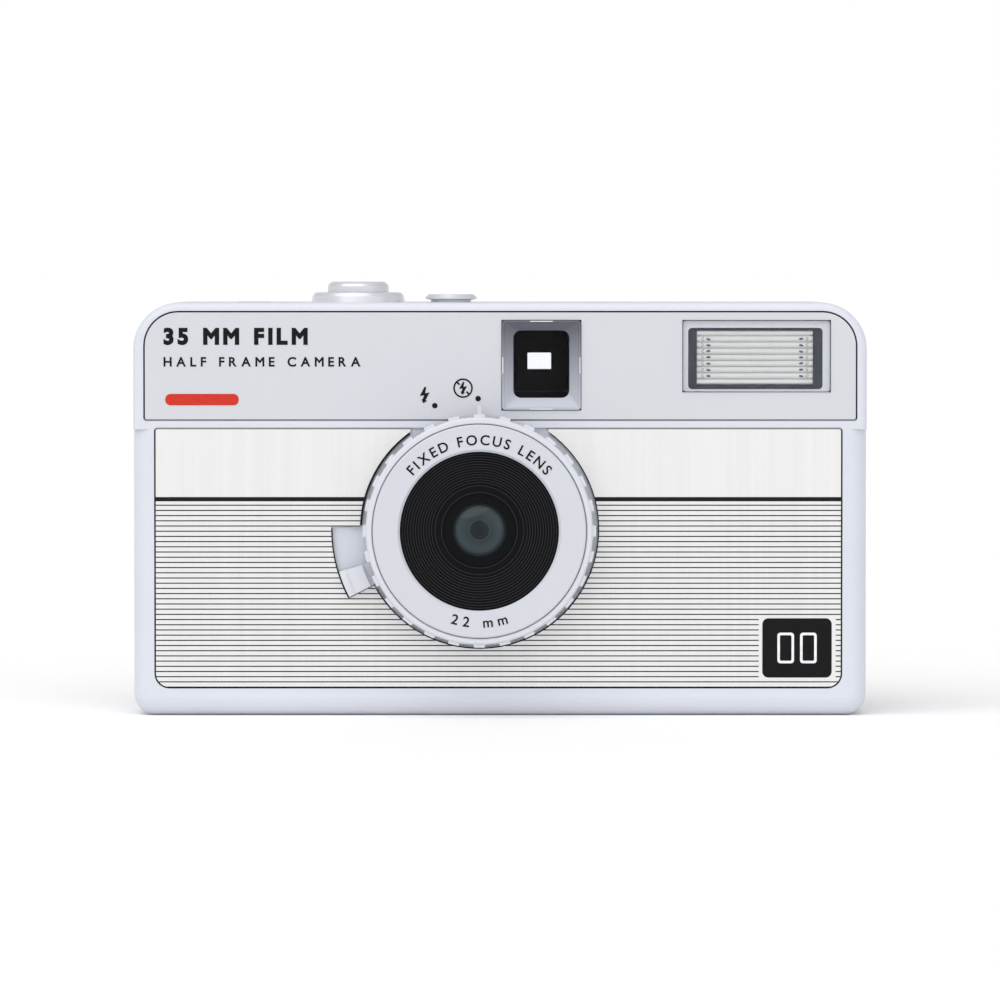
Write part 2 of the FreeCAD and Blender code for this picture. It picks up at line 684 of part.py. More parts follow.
def make_lens_housing():
    """Black moulding: a stepped funnel in front, the shutter's room behind."""
    steps = 13
    mouth = d.bezel_in
    front = size(18.6)
    deepest = size(14.6)
    throat = size(4.05)
    ridge_in, ridge_out = 5.6, 6.7
    profile = [(throat, 13.9), (throat, deepest), (ridge_in, deepest), (ridge_in, deepest + 0.5),
               (ridge_out, deepest + 0.5)]
    # grooves of the funnel, from the ridge out to the mouth
    rise = (front - deepest - 0.5) / steps
    run = (mouth - ridge_out) / steps
    for k in range(steps):
        profile.append((ridge_out + run * (k + 1), deepest + 0.5 + rise * k))
        if k < steps - 1:
            profile.append((ridge_out + run * (k + 1), deepest + 0.5 + rise * (k + 1)))
    profile += [(mouth, front), (15.75, front), (15.75, 14.4), (d.barrel_out, 14.4),
                (d.barrel_out, 8.7), (d.cell_out, 8.7), (d.cell_out, 13.2),
                (d.glass_out + 0.05, 13.2), (d.glass_out + 0.05, 13.9)]
    node("lens_housing", turned(profile, on_axis(0), FORWARD))


def make_lens_pieces():
    bezel = [(d.bezel_in, 18.6), (15.75, 18.6), (d.bezel_out, 18.75),
             (d.bezel_out, d.bezel_front - 0.2), (d.bezel_out - 0.2, d.bezel_front),
             (d.bezel_in + 0.35, d.bezel_front), (d.bezel_in, d.bezel_front - 0.35)]
    node("lens_name_ring", turned(bezel, on_axis(0), FORWARD))

    # lens: a short cylinder capped by two balls of 12 mm radius
    ball = 12
    rim = rod(d.glass_out, 1.3, on_axis(12.6), FORWARD)
    front_ball = doc.addObject("Part::Sphere", "Ball")
    bind(front_ball, "Radius", ball)
    place(front_ball, on_axis(14.4 - ball))
    node("front_lens", common(fuse(rim, rod(4, 2, on_axis(12.6), FORWARD)), front_ball))

    stop = [(d.stop_open, 12.1), (d.cell_out, 12.1), (d.cell_out, 12.5), (3, 12.5), (d.stop_open, 12.2)]
    node("aperture_plate", turned(stop, on_axis(0), FORWARD))

    plate = tube(d.cell_out, d.shutter_open, 0.4, on_axis(10.5), FORWARD)
    blade_pin = rod(0.6, 1.1, beside(8, 0, 9.4), FORWARD)
    striker_pin = rod(0.6, 1.1, beside(-7.8, -2, 9.4), FORWARD)
    node("shutter_plate", fuse(plate, blade_pin, striker_pin))

    holder = [(3.2, 8.75), (d.cell_out, 8.75), (d.cell_out, 9.3), (3.2, 9.3)]
    collar = [(4.25, 6.5), (5, 6.5), (5, 8.8), (4.25, 8.8)]
    notch = rod(3.2, 1, beside(-3.6, 8.8, 8.5), FORWARD)
    disc = cut(turned(holder, on_axis(0), FORWARD), notch)
    node("rear_lens_holder", fuse(disc, turned(collar, on_axis(0), FORWARD)))

    back_ball = doc.addObject("Part::Sphere", "Ball")
    bind(back_ball, "Radius", 9)
    place(back_ball, on_axis(6.7 + 9))
    node("rear_lens", common(rod(4.2, 1.9, on_axis(6.7), FORWARD), back_ball))

    node("lens_retainer", tube(16, d.barrel_out, 0.8, on_axis(8.7), FORWARD))


def make_flash_switch_ring():
    """Toothed ring round the lens, with a pointer on top and a web to ride on."""
    front, back = d.ring_front, d.ring_back
    web_in = d.barrel_out + 0.08
    profile = [(web_in, 13.2), (d.ring_in, 13.2), (d.ring_in, back), (d.ring_out, back),
               (d.ring_out, front - 0.25), (d.ring_out - 0.25, front),
               (d.ring_in + 0.15, front), (d.ring_in, front - 0.15), (d.ring_in, 14.2), (web_in, 14.2)]
    ring = turned(profile, on_axis(0), FORWARD)
    # the ring's local Z points forward, so the sketch plane is XY and heights run ahead
    sketch = sketch_on(ring, "XY_Plane", back + 0.1)
    crest = d.ring_out + d.tooth_tall
    side = math.sin(math.radians(d.tooth_angle.number / 2))
    half_foot = d.ring_out * side
    half_crest = half_foot - 0.12
    draw_polygon(sketch, [(-half_foot, d.ring_out - 0.4), (half_foot, d.ring_out - 0.4),
                          (half_crest, crest), (-half_crest, crest)])
    tooth = pad(ring, sketch, front - back - 0.5)
    polar(ring, [tooth], d.tooth_count)
    groove = tube(d.ring_out + 1, d.ring_out, 0.35, on_axis(15.95), FORWARD)
    pointer = box((d.lens_x - 0.3, -back - 2.2, d.lens_z + d.ring_out - 0.4),
                  (d.lens_x + 0.3, -back, d.lens_z + d.ring_out + 1.65))
    node("flash_switch_ring", fuse(cut(ring, groove), pointer))


def make_star_filter():
    """Lever with a tab left of the lens, and the filter that it swings in."""
    ring = tube(16.9, d.barrel_out + 0.08, 1, on_axis(11.9), FORWARD)
    first = 202 - d.tab_angle.number / 2
    arm = cut(sector(d.tab_in + 0.5, 1, on_axis(11.9), first, d.tab_angle),
              rod(16, 2, on_axis(11.5), FORWARD))
    tab = cut(sector(d.tab_out, 3.1, on_axis(11.3), first, d.tab_angle),
              rod(d.tab_in, 4, on_axis(11), FORWARD))
    slope = tube(d.tab_out + 2, d.tab_out - 1.2, 1.2, on_axis(13.8), FORWARD)
    node("star_lever", fuse(ring, arm, cut(tab, slope)))

    park = math.radians(d.filter_park.number)
    across = -d.filter_arm * math.sin(park)
    up = d.filter_arm * (math.cos(park) - 1)
    middle = beside(across, up, 11.1)
    pivot = beside(0, -d.filter_arm, 11.1)
    bar = doc.addObject("Part::Box", "Bar")
    bind(bar, "Length", 1.8)
    bind(bar, "Width", 0.7)
    bind(bar, "Height", d.filter_arm)
    turn = Rotation(Vector(0, 1, 0), -d.filter_park.number)
    offset = turn.multVec(Vector(-0.9, 0, 0))
    place(bar, (pivot[0] + offset.x, pivot[1] - 0.7, pivot[2] + offset.z), turn)
    frame = fuse(rod(4, 0.7, middle, FORWARD), rod(1.6, 0.7, pivot, FORWARD), bar)
    node("star_filter_arm", cut(frame, rod(3.2, 2, beside(across, up, 10.5), FORWARD),
                                rod(0.6 + d.play, 2, beside(0, -d.filter_arm, 10.5), FORWARD)))
    node("star_filter_glass", rod(3.2, 0.5, beside(across, up, 11.2), FORWARD))


def make_shutter():
    blade = fuse(rod(3.3, 0.2, beside(0, 0, 10.15), FORWARD),
                 rod(1.8, 0.2, beside(8, 0, 10.15), FORWARD),
                 box(beside(0, -1.8, 10.35), beside(8, 1.8, 10.15)))
    node("shutter_blade", cut(blade, rod(0.6 + d.play, 2, beside(8, 0, 9.5), FORWARD)))

    striker = fuse(rod(1.5, 0.5, beside(-7.8, -2, 9.5), FORWARD),
                   box(beside(-8.6, -2, 10), beside(-7, 5.2, 9.5)),
                   box(beside(-8.6, 4, 10), beside(-5.4, 5.2, 9.5)))
    node("striker_lever", cut(striker, rod(0.6 + d.play, 2, beside(-7.8, -2, 9), FORWARD)))

    # release lever: rocks on a stud of the button guide, behind the lens cell
    stud_x, stud_z = -14.5, 44.5
    front, rear = -8.5, -7.7
    hub = rod(2, 0.8, (stud_x, rear, stud_z), FORWARD)
    left_arm = box((-23.4, front, 45.4), (stud_x, rear, 47.2))
    foot = box((-23.4, front, 46.6), (-21.6, -1, 47.9))
    right_arm = box((-9, front, 34.9), (-7.4, rear, 44.4))
    bridge = box((stud_x, front, 42.9), (-7.4, rear, 45.2))
    nose = box((-8.6, -10, 35.2), (-7.4, rear, 36.4))
    lever = fuse(hub, left_arm, foot, right_arm, bridge, nose)
    node("release_lever", cut(lever, rod(0.8 + d.play, 3, (stud_x, rear + 1, stud_z), FORWARD)))

    guide = fuse(box((-27, inner_front, 50.6), (-15.8, 1.4, 51.6)),
                 box((-27, inner_front, 42), (-11.4, inner_front + 0.8, 51.6)),
                 rod(0.8, 2.1, (stud_x, -7.4, stud_z), FORWARD))
    node("button_guide", cut(guide, rod(d.stem_out + d.play, 3, (d.button_x, d.button_y, 50))))


def make_button():
    stem_low = 48
    head_low = d.button_top - 2.3
    top = d.button_top
    wide = d.button_out
    profile = [(0, stem_low), (d.stem_out, stem_low), (d.stem_out, head_low), (wide, head_low),
               (wide, top - 0.7), (wide - 0.2, top - 0.3), (wide - 0.7, top), (0, top - 0.15)]
    plunger = turned(profile, (d.button_x, d.button_y, 0))
    clip = rod(3, 0.5, (d.button_x, d.button_y, 59.4))
    node("shutter_button", fuse(plunger, clip))
    # springs are sleeves of the coil's own width and wire
    node("button_spring", tube(2.95, 2.45, 7.6, (d.button_x, d.button_y, 51.7)))

    foot = d.body_tall
    collar = [(wide + 0.15, foot), (d.collar_out, foot), (d.collar_out - 0.15, foot + 0.9),
              (d.collar_out - 0.5, foot + d.collar_tall - 0.1), (d.collar_out - 0.9, foot + d.collar_tall),
              (wide + 0.4, foot + d.collar_tall), (wide + 0.15, foot + d.collar_tall - 0.25)]
    node("shutter_collar", turned(collar, (d.button_x, d.button_y, 0)))

    rim = foot + d.socket_tall
    bore_low = rim - 3.5
    neck = 3.05
    # a narrow neck under a flared head, with the thread down its middle
    socket = [(0, 58.8), (d.window_out, 58.8), (d.window_out, foot), (neck, foot), (neck, foot + 0.35),
              (d.socket_out, foot + 0.5), (d.socket_out, rim - 0.5), (d.socket_out - 0.5, rim),
              (d.socket_bore, rim), (d.socket_bore, bore_low), (0, bore_low)]
    node("cable_socket", turned(socket, (d.socket_x, d.button_y, 0)))


# ---- viewfinder and flash ------------------------------------------------------

def make_viewfinder():
    frame = slab(-9.6, 2.2, d.finder_left, d.finder_low, d.finder_right, d.finder_high,
                 low_round=0.5, high_round=0.5)
    rim = d.finder_rim
    left, right = d.finder_left + rim, d.finder_right - rim
    low, high = d.finder_low + rim + 0.1, d.finder_high - rim + 0.2
    bevel = 1
    mouth = frustum((left - bevel, low - bevel, right + bevel, high + bevel),
                    (left, low, right, high), -11.81, -10.9)
    hole = slab(-9.5, 3, left, low, right, high, low_round=1, high_round=1)
    node("viewfinder_frame", cut(frame, mouth, hole))
    node("viewfinder_window", slab(-9.8, 0.8, left, low, right, high, low_round=1, high_round=1))

    eye = (2.6, 51.4, 9.8, 57.2)
    skin = 0.8
    begin, end = -9.5, 16.6
    rear = (eye[0] - skin, eye[1] - skin + 0.6, eye[2] + skin, eye[3] + skin)
    outer = frustum((left - skin, low - skin, right + skin, high + skin), rear, begin, end)
    inner = frustum((left, low, right, high), eye, begin - 0.01, end + 0.01)
    node("viewfinder_tunnel", cut(outer, inner))
    node("eyepiece_lens", slab(17.6, 0.9, *eyepiece_outline, low_round=0.8, high_round=0.8))


def make_flash():
    node("flash_window", slab(-10.7, 1, d.flash_left, d.flash_low, d.flash_right, d.flash_high,
                              low_round=0.4, high_round=0.4))
    frame = slab(-9.6, 1, d.flash_left, d.flash_low, d.flash_right, d.flash_high)
    hole = slab(-9.5, 1.2, d.pane_left, d.pane_low, d.pane_right, d.pane_high)
    node("flash_frame", cut(frame, hole))

    ribs = 9
    pane = slab(-9.7, 0.4, d.pane_left, d.pane_low, d.pane_right, d.pane_high)
    pitch = (d.pane_high - d.pane_low) / ribs
    bars = []
    for k in range(ribs):
        middle = d.pane_low + pitch * (k + 0.5)
        bars.append(box((d.pane_left, -10.4, middle - pitch * 0.3),
                        (d.pane_right, -10, middle + pitch * 0.3)))
    node("flash_pane", fuse(pane, *bars))

    left, right = d.pane_left - 0.3, d.pane_right + 0.3
    trough = box((left, -9.4, 50.9), (right, -3.5, 58.2))
    focus_z = 54.55
    inside = fuse(rod(3.05, right - left - 1.2, (left + 0.6, -6.8, focus_z), RIGHT),
                  box((left + 0.6, -9.5, focus_z - 3.05), (right - 0.6, -6.8, focus_z + 3.05)))
    tube_long = right - left
    tube_holes = rod(1.4, tube_long + 2, (left - 1, -6, focus_z), RIGHT)
    node("flash_reflector", cut(trough, inside, tube_holes))
    node("flash_tube", rod(1.4, tube_long + 2, (left - 1, -6, focus_z), RIGHT))

    board = box((15, -9, 58.4), (47, 15.5, 59.4))
    node("flash_circuit_board", board)
    node("flash_capacitor", rod(4, 30, (-22.5, -5.3, 8)))


def make_battery():
    x, y = d.battery_x, d.battery_y
    low = d.battery_low
    top = low + d.battery_long
    cell = fuse(rod(d.battery_out, d.battery_long, (x, y, low)), rod(1.9, 0.8, (x, y, top - 0.01)))
    node("battery", cell)
    plate_z = top + 0.9
    contact = fuse(box((x - 3.5, y - 3, plate_z), (x + 3.5, y + 3, plate_z + 0.3)),
                   box((x - 3.5, y + 2.7, plate_z), (x + 3.5, y + 3, 58.4)))
    node("battery_contact", contact)

    # door: hinged at its front edge, with finger grips near its free edge
    side = d.hatch_wide / 2 - 0.2
    axis_y, axis_z = d.hatch_axis_y, d.hatch_axis_z
    door = fuse(box((x - side, axis_y + 0.9, 0.1), (x + side, d.hatch_rear - 0.2, 1.6)),
                box((x - side + 0.5, axis_y, 0.3), (x + side - 0.5, axis_y + 1, 1.5)),
                rod(0.85, 2 * side, (x - side, axis_y, axis_z), RIGHT),
                rod(d.trunnion, 2 * side + 2, (x - side - 1, axis_y, axis_z), RIGHT))
    pitch = 1.1
    grips = [box((x - 3, y + 2.4 + pitch * k, 0), (x + 3, y + 2.9 + pitch * k, 0.35)) for k in range(4)]
    node("battery_door", cut(door, *grips))
    strip = box((x - 4, y - 3, 1.6), (x + 4, y + 3, 1.9))
    bump = rod(1.5, 0.4, (x, y, 1.85))
    node("battery_door_contact", fuse(strip, bump))


# ---- film transport --------------------------------------------------------------

def make_transport():
    x, y = d.take_up_x, d.take_up_y
    low, thick, wide = d.wheel_low, d.wheel_thick, d.wheel_out
    wheel = turned([(0, 0), (wide - 0.4, 0), (wide, 0.4), (wide, thick - 0.4),
                    (wide - 0.4, thick), (5, thick), (4.5, thick - 0.5), (0, thick - 0.5)], (x, y, low))
    sketch = sketch_on(wheel, "XY_Plane", thick + 0.1)
    draw_circle(sketch, wide + 0.25, 0, 0.55)
    notch = pocket(wheel, sketch, thick + 0.2)
    polar(wheel, [notch], d.wheel_notches)
    node("advance_wheel", wheel)

    spool_low = d.chamber_floor + 0.6
    spool_high = d.chamber_roof - 0.6
    spool = turned([(0, 4.1), (1.5, 4.1), (1.5, spool_low), (d.spool_out, spool_low),
                    (d.spool_out, spool_high), (2.9, spool_high), (2.9, low), (0, low)], (x, y, 0))
    slot = box((x - 8, y - 0.6, 12), (x + 8, y + 0.6, 44))
    node("take_up_spool", cut(spool, slot))

    # sprocket: a waisted drum with a row of teeth at each edge of the film
    row = d.perforation_row
    middle = d.lens_z
    drum = d.sprocket_out
    waist = drum - 1.2
    shaft = 1.5
    profile = [(0, 6.6), (shaft, 6.6), (shaft, 8.2), (drum, 8.2), (drum, middle - row + 2),
               (waist, middle - row + 3), (waist, middle + row - 3), (drum, middle + row - 2),
               (drum, 48.2), (shaft, 48.2), (shaft, 58), (0, 58)]
    sprocket = turned(profile, (d.sprocket_x, d.sprocket_y, 0))
    teeth = []
    for z in (middle - row, middle + row):
        sketch = sketch_on(sprocket, "XY_Plane", z - 0.75)
        draw_polygon(sketch, [(drum - 0.3, -0.7), (drum + 1.05, -0.35), (drum + 1.05, 0.35),
                              (drum - 0.3, 0.7)])
        teeth.append(pad(sprocket, sketch, 1.5))
    polar(sprocket, teeth, d.sprocket_teeth)
    finger = 5.2
    fingers = box((d.sprocket_x - finger, d.sprocket_y - 0.5, 57.3),
                  (d.sprocket_x + finger, d.sprocket_y + 0.5, 58))
    node("film_sprocket", fuse(sprocket, fingers))

    # counter disc: fine teeth at the rim, turned one tooth a frame by the fingers
    wide = d.counter_out
    disc = turned([(0.9 + d.play, 0), (wide, 0), (wide, 0.8), (2, 0.8), (2, 1.6), (0.9 + d.play, 1.6)],
                  (d.counter_x, d.counter_y, d.counter_low))
    sketch = sketch_on(disc, "XY_Plane", 1)
    draw_circle(sketch, wide + 0.1, 0, 0.25)
    notch = pocket(disc, sketch, 1.2)
    polar(disc, [notch], 72)
    node("counter_disc", disc)
    window = turned([(0, 59.1), (3.2, 59.1), (3.2, 60), (2.55, 60), (2.55, 61.9), (2.4, 62.05), (0, 62.05)],
                    (d.counter_x - 5, d.counter_y, 0))
    node("counter_window", window)


def make_rewind():
    x, y = d.cartridge_x, d.cartridge_y
    shaft = fuse(rod(d.coupler_out, 4.1, (x, y, 2.4)), rod(4, 1.4, (x, y, 5.4)),
                 box((x - 3, y - 0.6, 6.7), (x + 3, y + 0.6, 9.4)))
    node("rewind_coupler", shaft)

    pivot_x = x + d.crank_pivot
    pivot_z = 0.7
    disc = rod(d.crank_out, 1.2, (x, y, 1.2))
    lugs = []
    for side in (-1, 1):
        reach = size(y) + side * 2.9 - 0.5
        lugs.append(box((pivot_x - 0.6, reach, 0.3), (pivot_x + 0.6, reach + 1, 1.3)))
    knob_x = x - 6.2
    pin = rod(0.3, 6.8, (pivot_x, y + 3.4, pivot_z), FORWARD)
    node("rewind_crank_disc", cut(fuse(disc, *lugs, pin), rod(2.1, 2, (knob_x, y, 1))))

    arm = fuse(box((x - 8, y - 2.1, 0.35), (pivot_x, y + 2.1, 1.05)),
               rod(0.42, 4.2, (pivot_x, y + 2.1, pivot_z), FORWARD),
               rod(1.7, 1.2, (knob_x, y, 1)))
    node("crank_handle", cut(arm, rod(0.3 + d.play, 8, (pivot_x, y + 4, pivot_z), FORWARD)))

    x, y = d.sprocket_x, d.sprocket_y
    node("rewind_button", fuse(rod(d.release_out, 2.4, (x, y, 0.25)), rod(3, 0.6, (x, y, 2.05))))
    node("rewind_button_spring", tube(2.2, 1.8, 3.6, (x, y, 2.7)))


# ---- door --------------------------------------------------------------------------

def make_door():
    front = d.rear_y - d.door_thick
    left = d.hinge_x + d.knuckle_out + 0.2
    plate = slab(d.rear_y, d.door_thick, left, d.door_low, d.door_right, d.door_high,
                 low_round=1, high_round=0.3)
    parts = [plate]
    for low, high in door_knuckles:
        parts.append(rod(d.knuckle_out, high - low, (d.hinge_x, d.hinge_y, low)))
        parts.append(box((d.hinge_x, front, low), (left + 0.2, d.rear_y, high)))
    # hook that the latch holds, and a seat for the pressure plate's spring
    hook_left, hook_right = 51.8, 52.6
    parts.append(box((hook_left, 13.5, 16), (hook_right, front + 0.1, 18.5)))
    parts.append(box((hook_left, 12, 16), (hook_right, 13.6, 20.5)))
    pin_hole = rod(d.hinge_pin + d.play, d.door_high, (d.hinge_x, d.hinge_y, d.door_low))
    node("back_door", cut(fuse(*parts), pin_hole))
    node("door_hinge_pin", rod(d.hinge_pin, 43, (d.hinge_x, d.hinge_y, 5)))

    plate_front = d.film_y + 0.4
    pressure = slab(plate_front + 0.8, 0.8, -16.5, 10.5, 11, 45.5, low_round=1, high_round=1)
    node("pressure_plate", pressure)

    # bowed leaf: its crown is held by the door, its ends reach for the plate
    body = doc.addObject("PartDesign::Body", "Body")
    sketch = sketch_on(body, "XY_Plane", d.lens_z - 3)
    middle = d.lens_x
    rear_y = front
    crown, end = rear_y - 0.3, plate_front + 1.5
    draw_polygon(sketch, [(middle - 10, end), (middle - 9, end), (middle - 3, crown), (middle + 3, crown),
                          (middle + 9, end), (middle + 10, end), (middle + 3.5, rear_y),
                          (middle - 3.5, rear_y)])
    pad(body, sketch, 6)
    node("pressure_spring", body)

    latch = fuse(box((51.75, 9, 25), (52.65, 16, 41)),
                 box((51.75, 14, 22), (52.65, 16, 25.1)),
                 box((52.5, 10.6, 30), (half, 14.4, 35.9)))
    grooves = [box((half - 0.4, 10, 31.2 + 1.2 * k), (half + 0.5, 15, 31.7 + 1.2 * k)) for k in range(4)]
    node("door_latch", cut(latch, *grooves))


def make_tripod_bush():
    bush = [(0, 6.4), (0, d.tripod_deep), (d.tripod_bore, d.tripod_deep), (d.tripod_bore, 0.05),
            (d.bush_out, 0.05), (d.bush_out, 2.6), (5.6, 2.6), (5.6, 6.4)]
    node("tripod_bush", turned(bush, (d.lens_x, d.tripod_y, 0)))


make_casing()
make_front_plates()
make_upper_back_cover()
make_screws()
make_film_chassis()
make_lens_housing()
make_lens_pieces()
make_flash_switch_ring()
make_star_filter()
make_shutter()
make_button()
make_viewfinder()
make_flash()
make_battery()
make_transport()
make_rewind()
make_door()
make_tripod_bush()
doc.recompute()

# ---- check and write -----------------------------------------------------------------

for item in doc.Objects:
    if "Invalid" in item.State or "Error" in item.State:
        raise RuntimeError(f"{item.Name} ({item.Label}) failed: {item.State}")
for item in nodes:
    if item.Shape.isNull() or not item.Shape.isValid() or item.Shape.Volume <= 0:
        raise RuntimeError(f"{item.Label} has no valid shape")

os.makedirs("parts", exist_ok=True)
for item in nodes:
    item.Shape.exportStep(f"parts/{item.Label}.step")
    print(f"{item.Label}: {len(item.Shape.Solids)} solid(s), {item.Shape.Volume:.1f} mm3")
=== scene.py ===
import json
import math

import bmesh
import bpy
from mathutils import Euler, Matrix, Vector


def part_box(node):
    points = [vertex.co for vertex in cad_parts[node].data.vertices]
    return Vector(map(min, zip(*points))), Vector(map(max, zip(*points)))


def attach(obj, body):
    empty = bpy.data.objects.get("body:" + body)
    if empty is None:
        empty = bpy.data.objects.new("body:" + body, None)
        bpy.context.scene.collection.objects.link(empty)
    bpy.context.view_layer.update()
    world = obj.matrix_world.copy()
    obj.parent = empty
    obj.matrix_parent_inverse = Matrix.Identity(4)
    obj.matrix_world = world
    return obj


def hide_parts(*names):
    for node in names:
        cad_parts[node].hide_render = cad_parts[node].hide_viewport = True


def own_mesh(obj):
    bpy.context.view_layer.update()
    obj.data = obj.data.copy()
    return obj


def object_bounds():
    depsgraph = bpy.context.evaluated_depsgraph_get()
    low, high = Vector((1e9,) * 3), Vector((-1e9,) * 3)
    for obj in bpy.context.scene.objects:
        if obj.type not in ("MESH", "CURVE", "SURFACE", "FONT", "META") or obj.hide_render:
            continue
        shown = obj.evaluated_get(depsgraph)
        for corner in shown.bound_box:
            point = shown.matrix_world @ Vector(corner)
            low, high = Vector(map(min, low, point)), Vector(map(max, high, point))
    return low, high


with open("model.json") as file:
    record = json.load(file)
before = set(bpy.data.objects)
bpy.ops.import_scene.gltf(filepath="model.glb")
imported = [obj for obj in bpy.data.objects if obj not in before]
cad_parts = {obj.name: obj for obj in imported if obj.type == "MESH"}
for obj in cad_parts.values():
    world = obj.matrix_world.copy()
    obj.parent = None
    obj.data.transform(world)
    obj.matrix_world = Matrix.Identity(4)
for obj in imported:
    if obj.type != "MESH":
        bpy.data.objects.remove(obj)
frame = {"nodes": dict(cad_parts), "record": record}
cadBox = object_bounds()
nodes = frame["nodes"]
mm = 0.001


# shader tools
def rampStops(colourRamp, stops):
    # a ramp starts with two stops; the others are added
    for k, (position, shade) in enumerate(stops):
        stop = colourRamp.elements[k] if k < 2 else colourRamp.elements.new(position)
        stop.position = position
        stop.color = (shade, shade, shade, 1)


def plug(tree, entry, value):
    # a Wire is linked, anything else is set on the socket
    if isinstance(value, Wire):
        tree.links.new(value.socket, entry)
    else:
        entry.default_value = value


class Wire:
    # one output socket; arithmetic on it adds Math nodes
    def __init__(self, tree, socket):
        self.tree = tree
        self.socket = socket

    def maths(self, operation, first, second):
        node = self.tree.nodes.new("ShaderNodeMath")
        node.operation = operation
        plug(self.tree, node.inputs[0], first)
        plug(self.tree, node.inputs[1], second)
        return Wire(self.tree, node.outputs[0])

    def __add__(self, other):
        return self.maths("ADD", self, other)

    def __radd__(self, other):
        return self.maths("ADD", other, self)

    def __sub__(self, other):
        return self.maths("SUBTRACT", self, other)

    def __rsub__(self, other):
        return self.maths("SUBTRACT", other, self)

    def __mul__(self, other):
        return self.maths("MULTIPLY", self, other)

    def __rmul__(self, other):
        return self.maths("MULTIPLY", other, self)


class Finish:
    # a material with one Principled shader
    def __init__(self, name, fixed):
        self.material = bpy.data.materials.new(name)
        self.material.use_nodes = True
        self.tree = self.material.node_tree
        self.shader = self.tree.nodes["Principled BSDF"]
        for socket, value in fixed.items():
            self.shader.inputs[socket].default_value = value

    def add(self, kind, settings=None, values=None, out=0):
        node = self.tree.nodes.new(kind)
        for key, value in (settings or {}).items():
            if key == "stops":
                rampStops(node.color_ramp, value)
            else:
                setattr(node, key, value)
        for key, value in (values or {}).items():
            plug(self.tree, node.inputs[key], value)
        return Wire(self.tree, node.outputs[out])

    def spots(self, stretch=(1, 1, 1)):
        # object coordinates in metres, stretched
        spots = self.add("ShaderNodeTexCoord", out="Object")
        return self.add("ShaderNodeVectorMath", {"operation": "MULTIPLY"}, {0: spots, 1: stretch})

    def noise(self, scale, detail=3, stretch=(1, 1, 1), sharp=0.5):
        return self.add("ShaderNodeTexNoise", {}, {"Vector": self.spots(stretch), "Scale": scale,
                                                   "Detail": detail, "Roughness": sharp})

    def between(self, mask, first, second):
        return self.add("ShaderNodeMix", {"data_type": "RGBA"}, {0: mask, 6: (*first, 1), 7: (*second, 1)}, 2)

    def ramp(self, mask, *stops):
        return self.add("ShaderNodeValToRGB", {"stops": stops}, {"Fac": mask})

    def bump(self, height, strength, distance):
        return self.add("ShaderNodeBump", {}, {"Height": height, "Strength": strength, "Distance": distance})

    def feed(self, **links):
        for name, wire in links.items():
            plug(self.tree, self.shader.inputs[name.replace("_", " ")], wire)
        return self.material


def tinted(colour, amount):
    return tuple(channel * amount for channel in colour)


def spaced(fixed):
    # keyword names turned into socket names
    return {key.replace("_", " "): value for key, value in fixed.items()}


# finishes
def moulded(name, colour, roughness, grain=0.25, mottle=0.03, **fixed):
    # injection moulded plastic: fine spark-eroded grain, faint flow marks and handling haze
    finish = Finish(name, {"IOR": 1.49, **spaced(fixed)})
    flow = finish.noise(60, 3)
    haze = finish.ramp(finish.noise(220, 5, sharp=0.65), (0.35, 0), (0.75, 1))
    pits = finish.noise(5200, 2)
    return finish.feed(
        Base_Color=finish.between(flow, tinted(colour, 1 - mottle), tinted(colour, 1 + mottle)),
        Roughness=roughness + 0.09 * haze + 0.05 * flow,
        Normal=finish.bump(pits + 0.35 * haze, grain, 0.00002))


def brushed(name, colour, roughness, stretch, metal=1.0, depth=0.3, spread=0.14):
    # metal with fine scratches drawn out along the axis whose stretch is small
    finish = Finish(name, {})
    hairs = finish.noise(1, 4, stretch, 0.7)
    bands = finish.noise(1, 2, tuple(value * 0.12 for value in stretch), 0.5)
    shade = finish.ramp(0.55 * hairs + 0.45 * bands, (0.3, 0), (0.7, 1))
    return finish.feed(
        Base_Color=finish.between(shade, tinted(colour, 1 - spread), tinted(colour, 1 + spread * 0.4)),
        Metallic=metal - 0.08 * bands,
        Roughness=roughness + 0.16 * hairs,
        Normal=finish.bump(hairs, depth, 0.00003))


def turnedMetal(name, colour, roughness):
    # plain metal with small dents and a little grime
    finish = Finish(name, {"Metallic": 1.0})
    wear = finish.noise(350, 5, sharp=0.6)
    fine = finish.noise(3000, 2)
    return finish.feed(
        Base_Color=finish.between(wear, tinted(colour, 0.86), tinted(colour, 1.06)),
        Roughness=roughness + 0.2 * wear,
        Normal=finish.bump(fine, 0.2, 0.00002))


def seeThrough(name, colour, roughness, weight, **fixed):
    # clear plastic with dust haze and the faintest moulding ripple
    finish = Finish(name, {"Transmission Weight": weight, "IOR": 1.49, **spaced(fixed)})
    dust = finish.ramp(finish.noise(900, 6, sharp=0.7), (0.55, 0), (0.8, 1))
    ripple = finish.noise(160, 1)
    return finish.feed(
        Base_Color=finish.between(dust, colour, tinted(colour, 0.93)),
        Roughness=roughness + 0.06 * dust,
        Normal=finish.bump(ripple, 0.02, 0.00005))


def paintedShadeUpward(name, foot, head, low, high):
    # glossy moulding with painted shade: it darkens towards its top, where the sloped faces turn down from
    # the light
    finish = Finish(name, {"IOR": 1.49, "Coat Weight": 0.2})
    split = finish.add("ShaderNodeSeparateXYZ", {}, {0: finish.add("ShaderNodeTexCoord", out="Object")}, "Z")
    climb = (split - low) * (1 / (high - low))
    haze = finish.noise(260, 4)
    shade = finish.ramp(climb + 0.06 * haze, (0.1, 0), (0.95, 1))
    return finish.feed(Base_Color=finish.between(shade, foot, head), Roughness=0.22 + 0.08 * haze,
                       Normal=finish.bump(haze, 0.06, 0.00002))
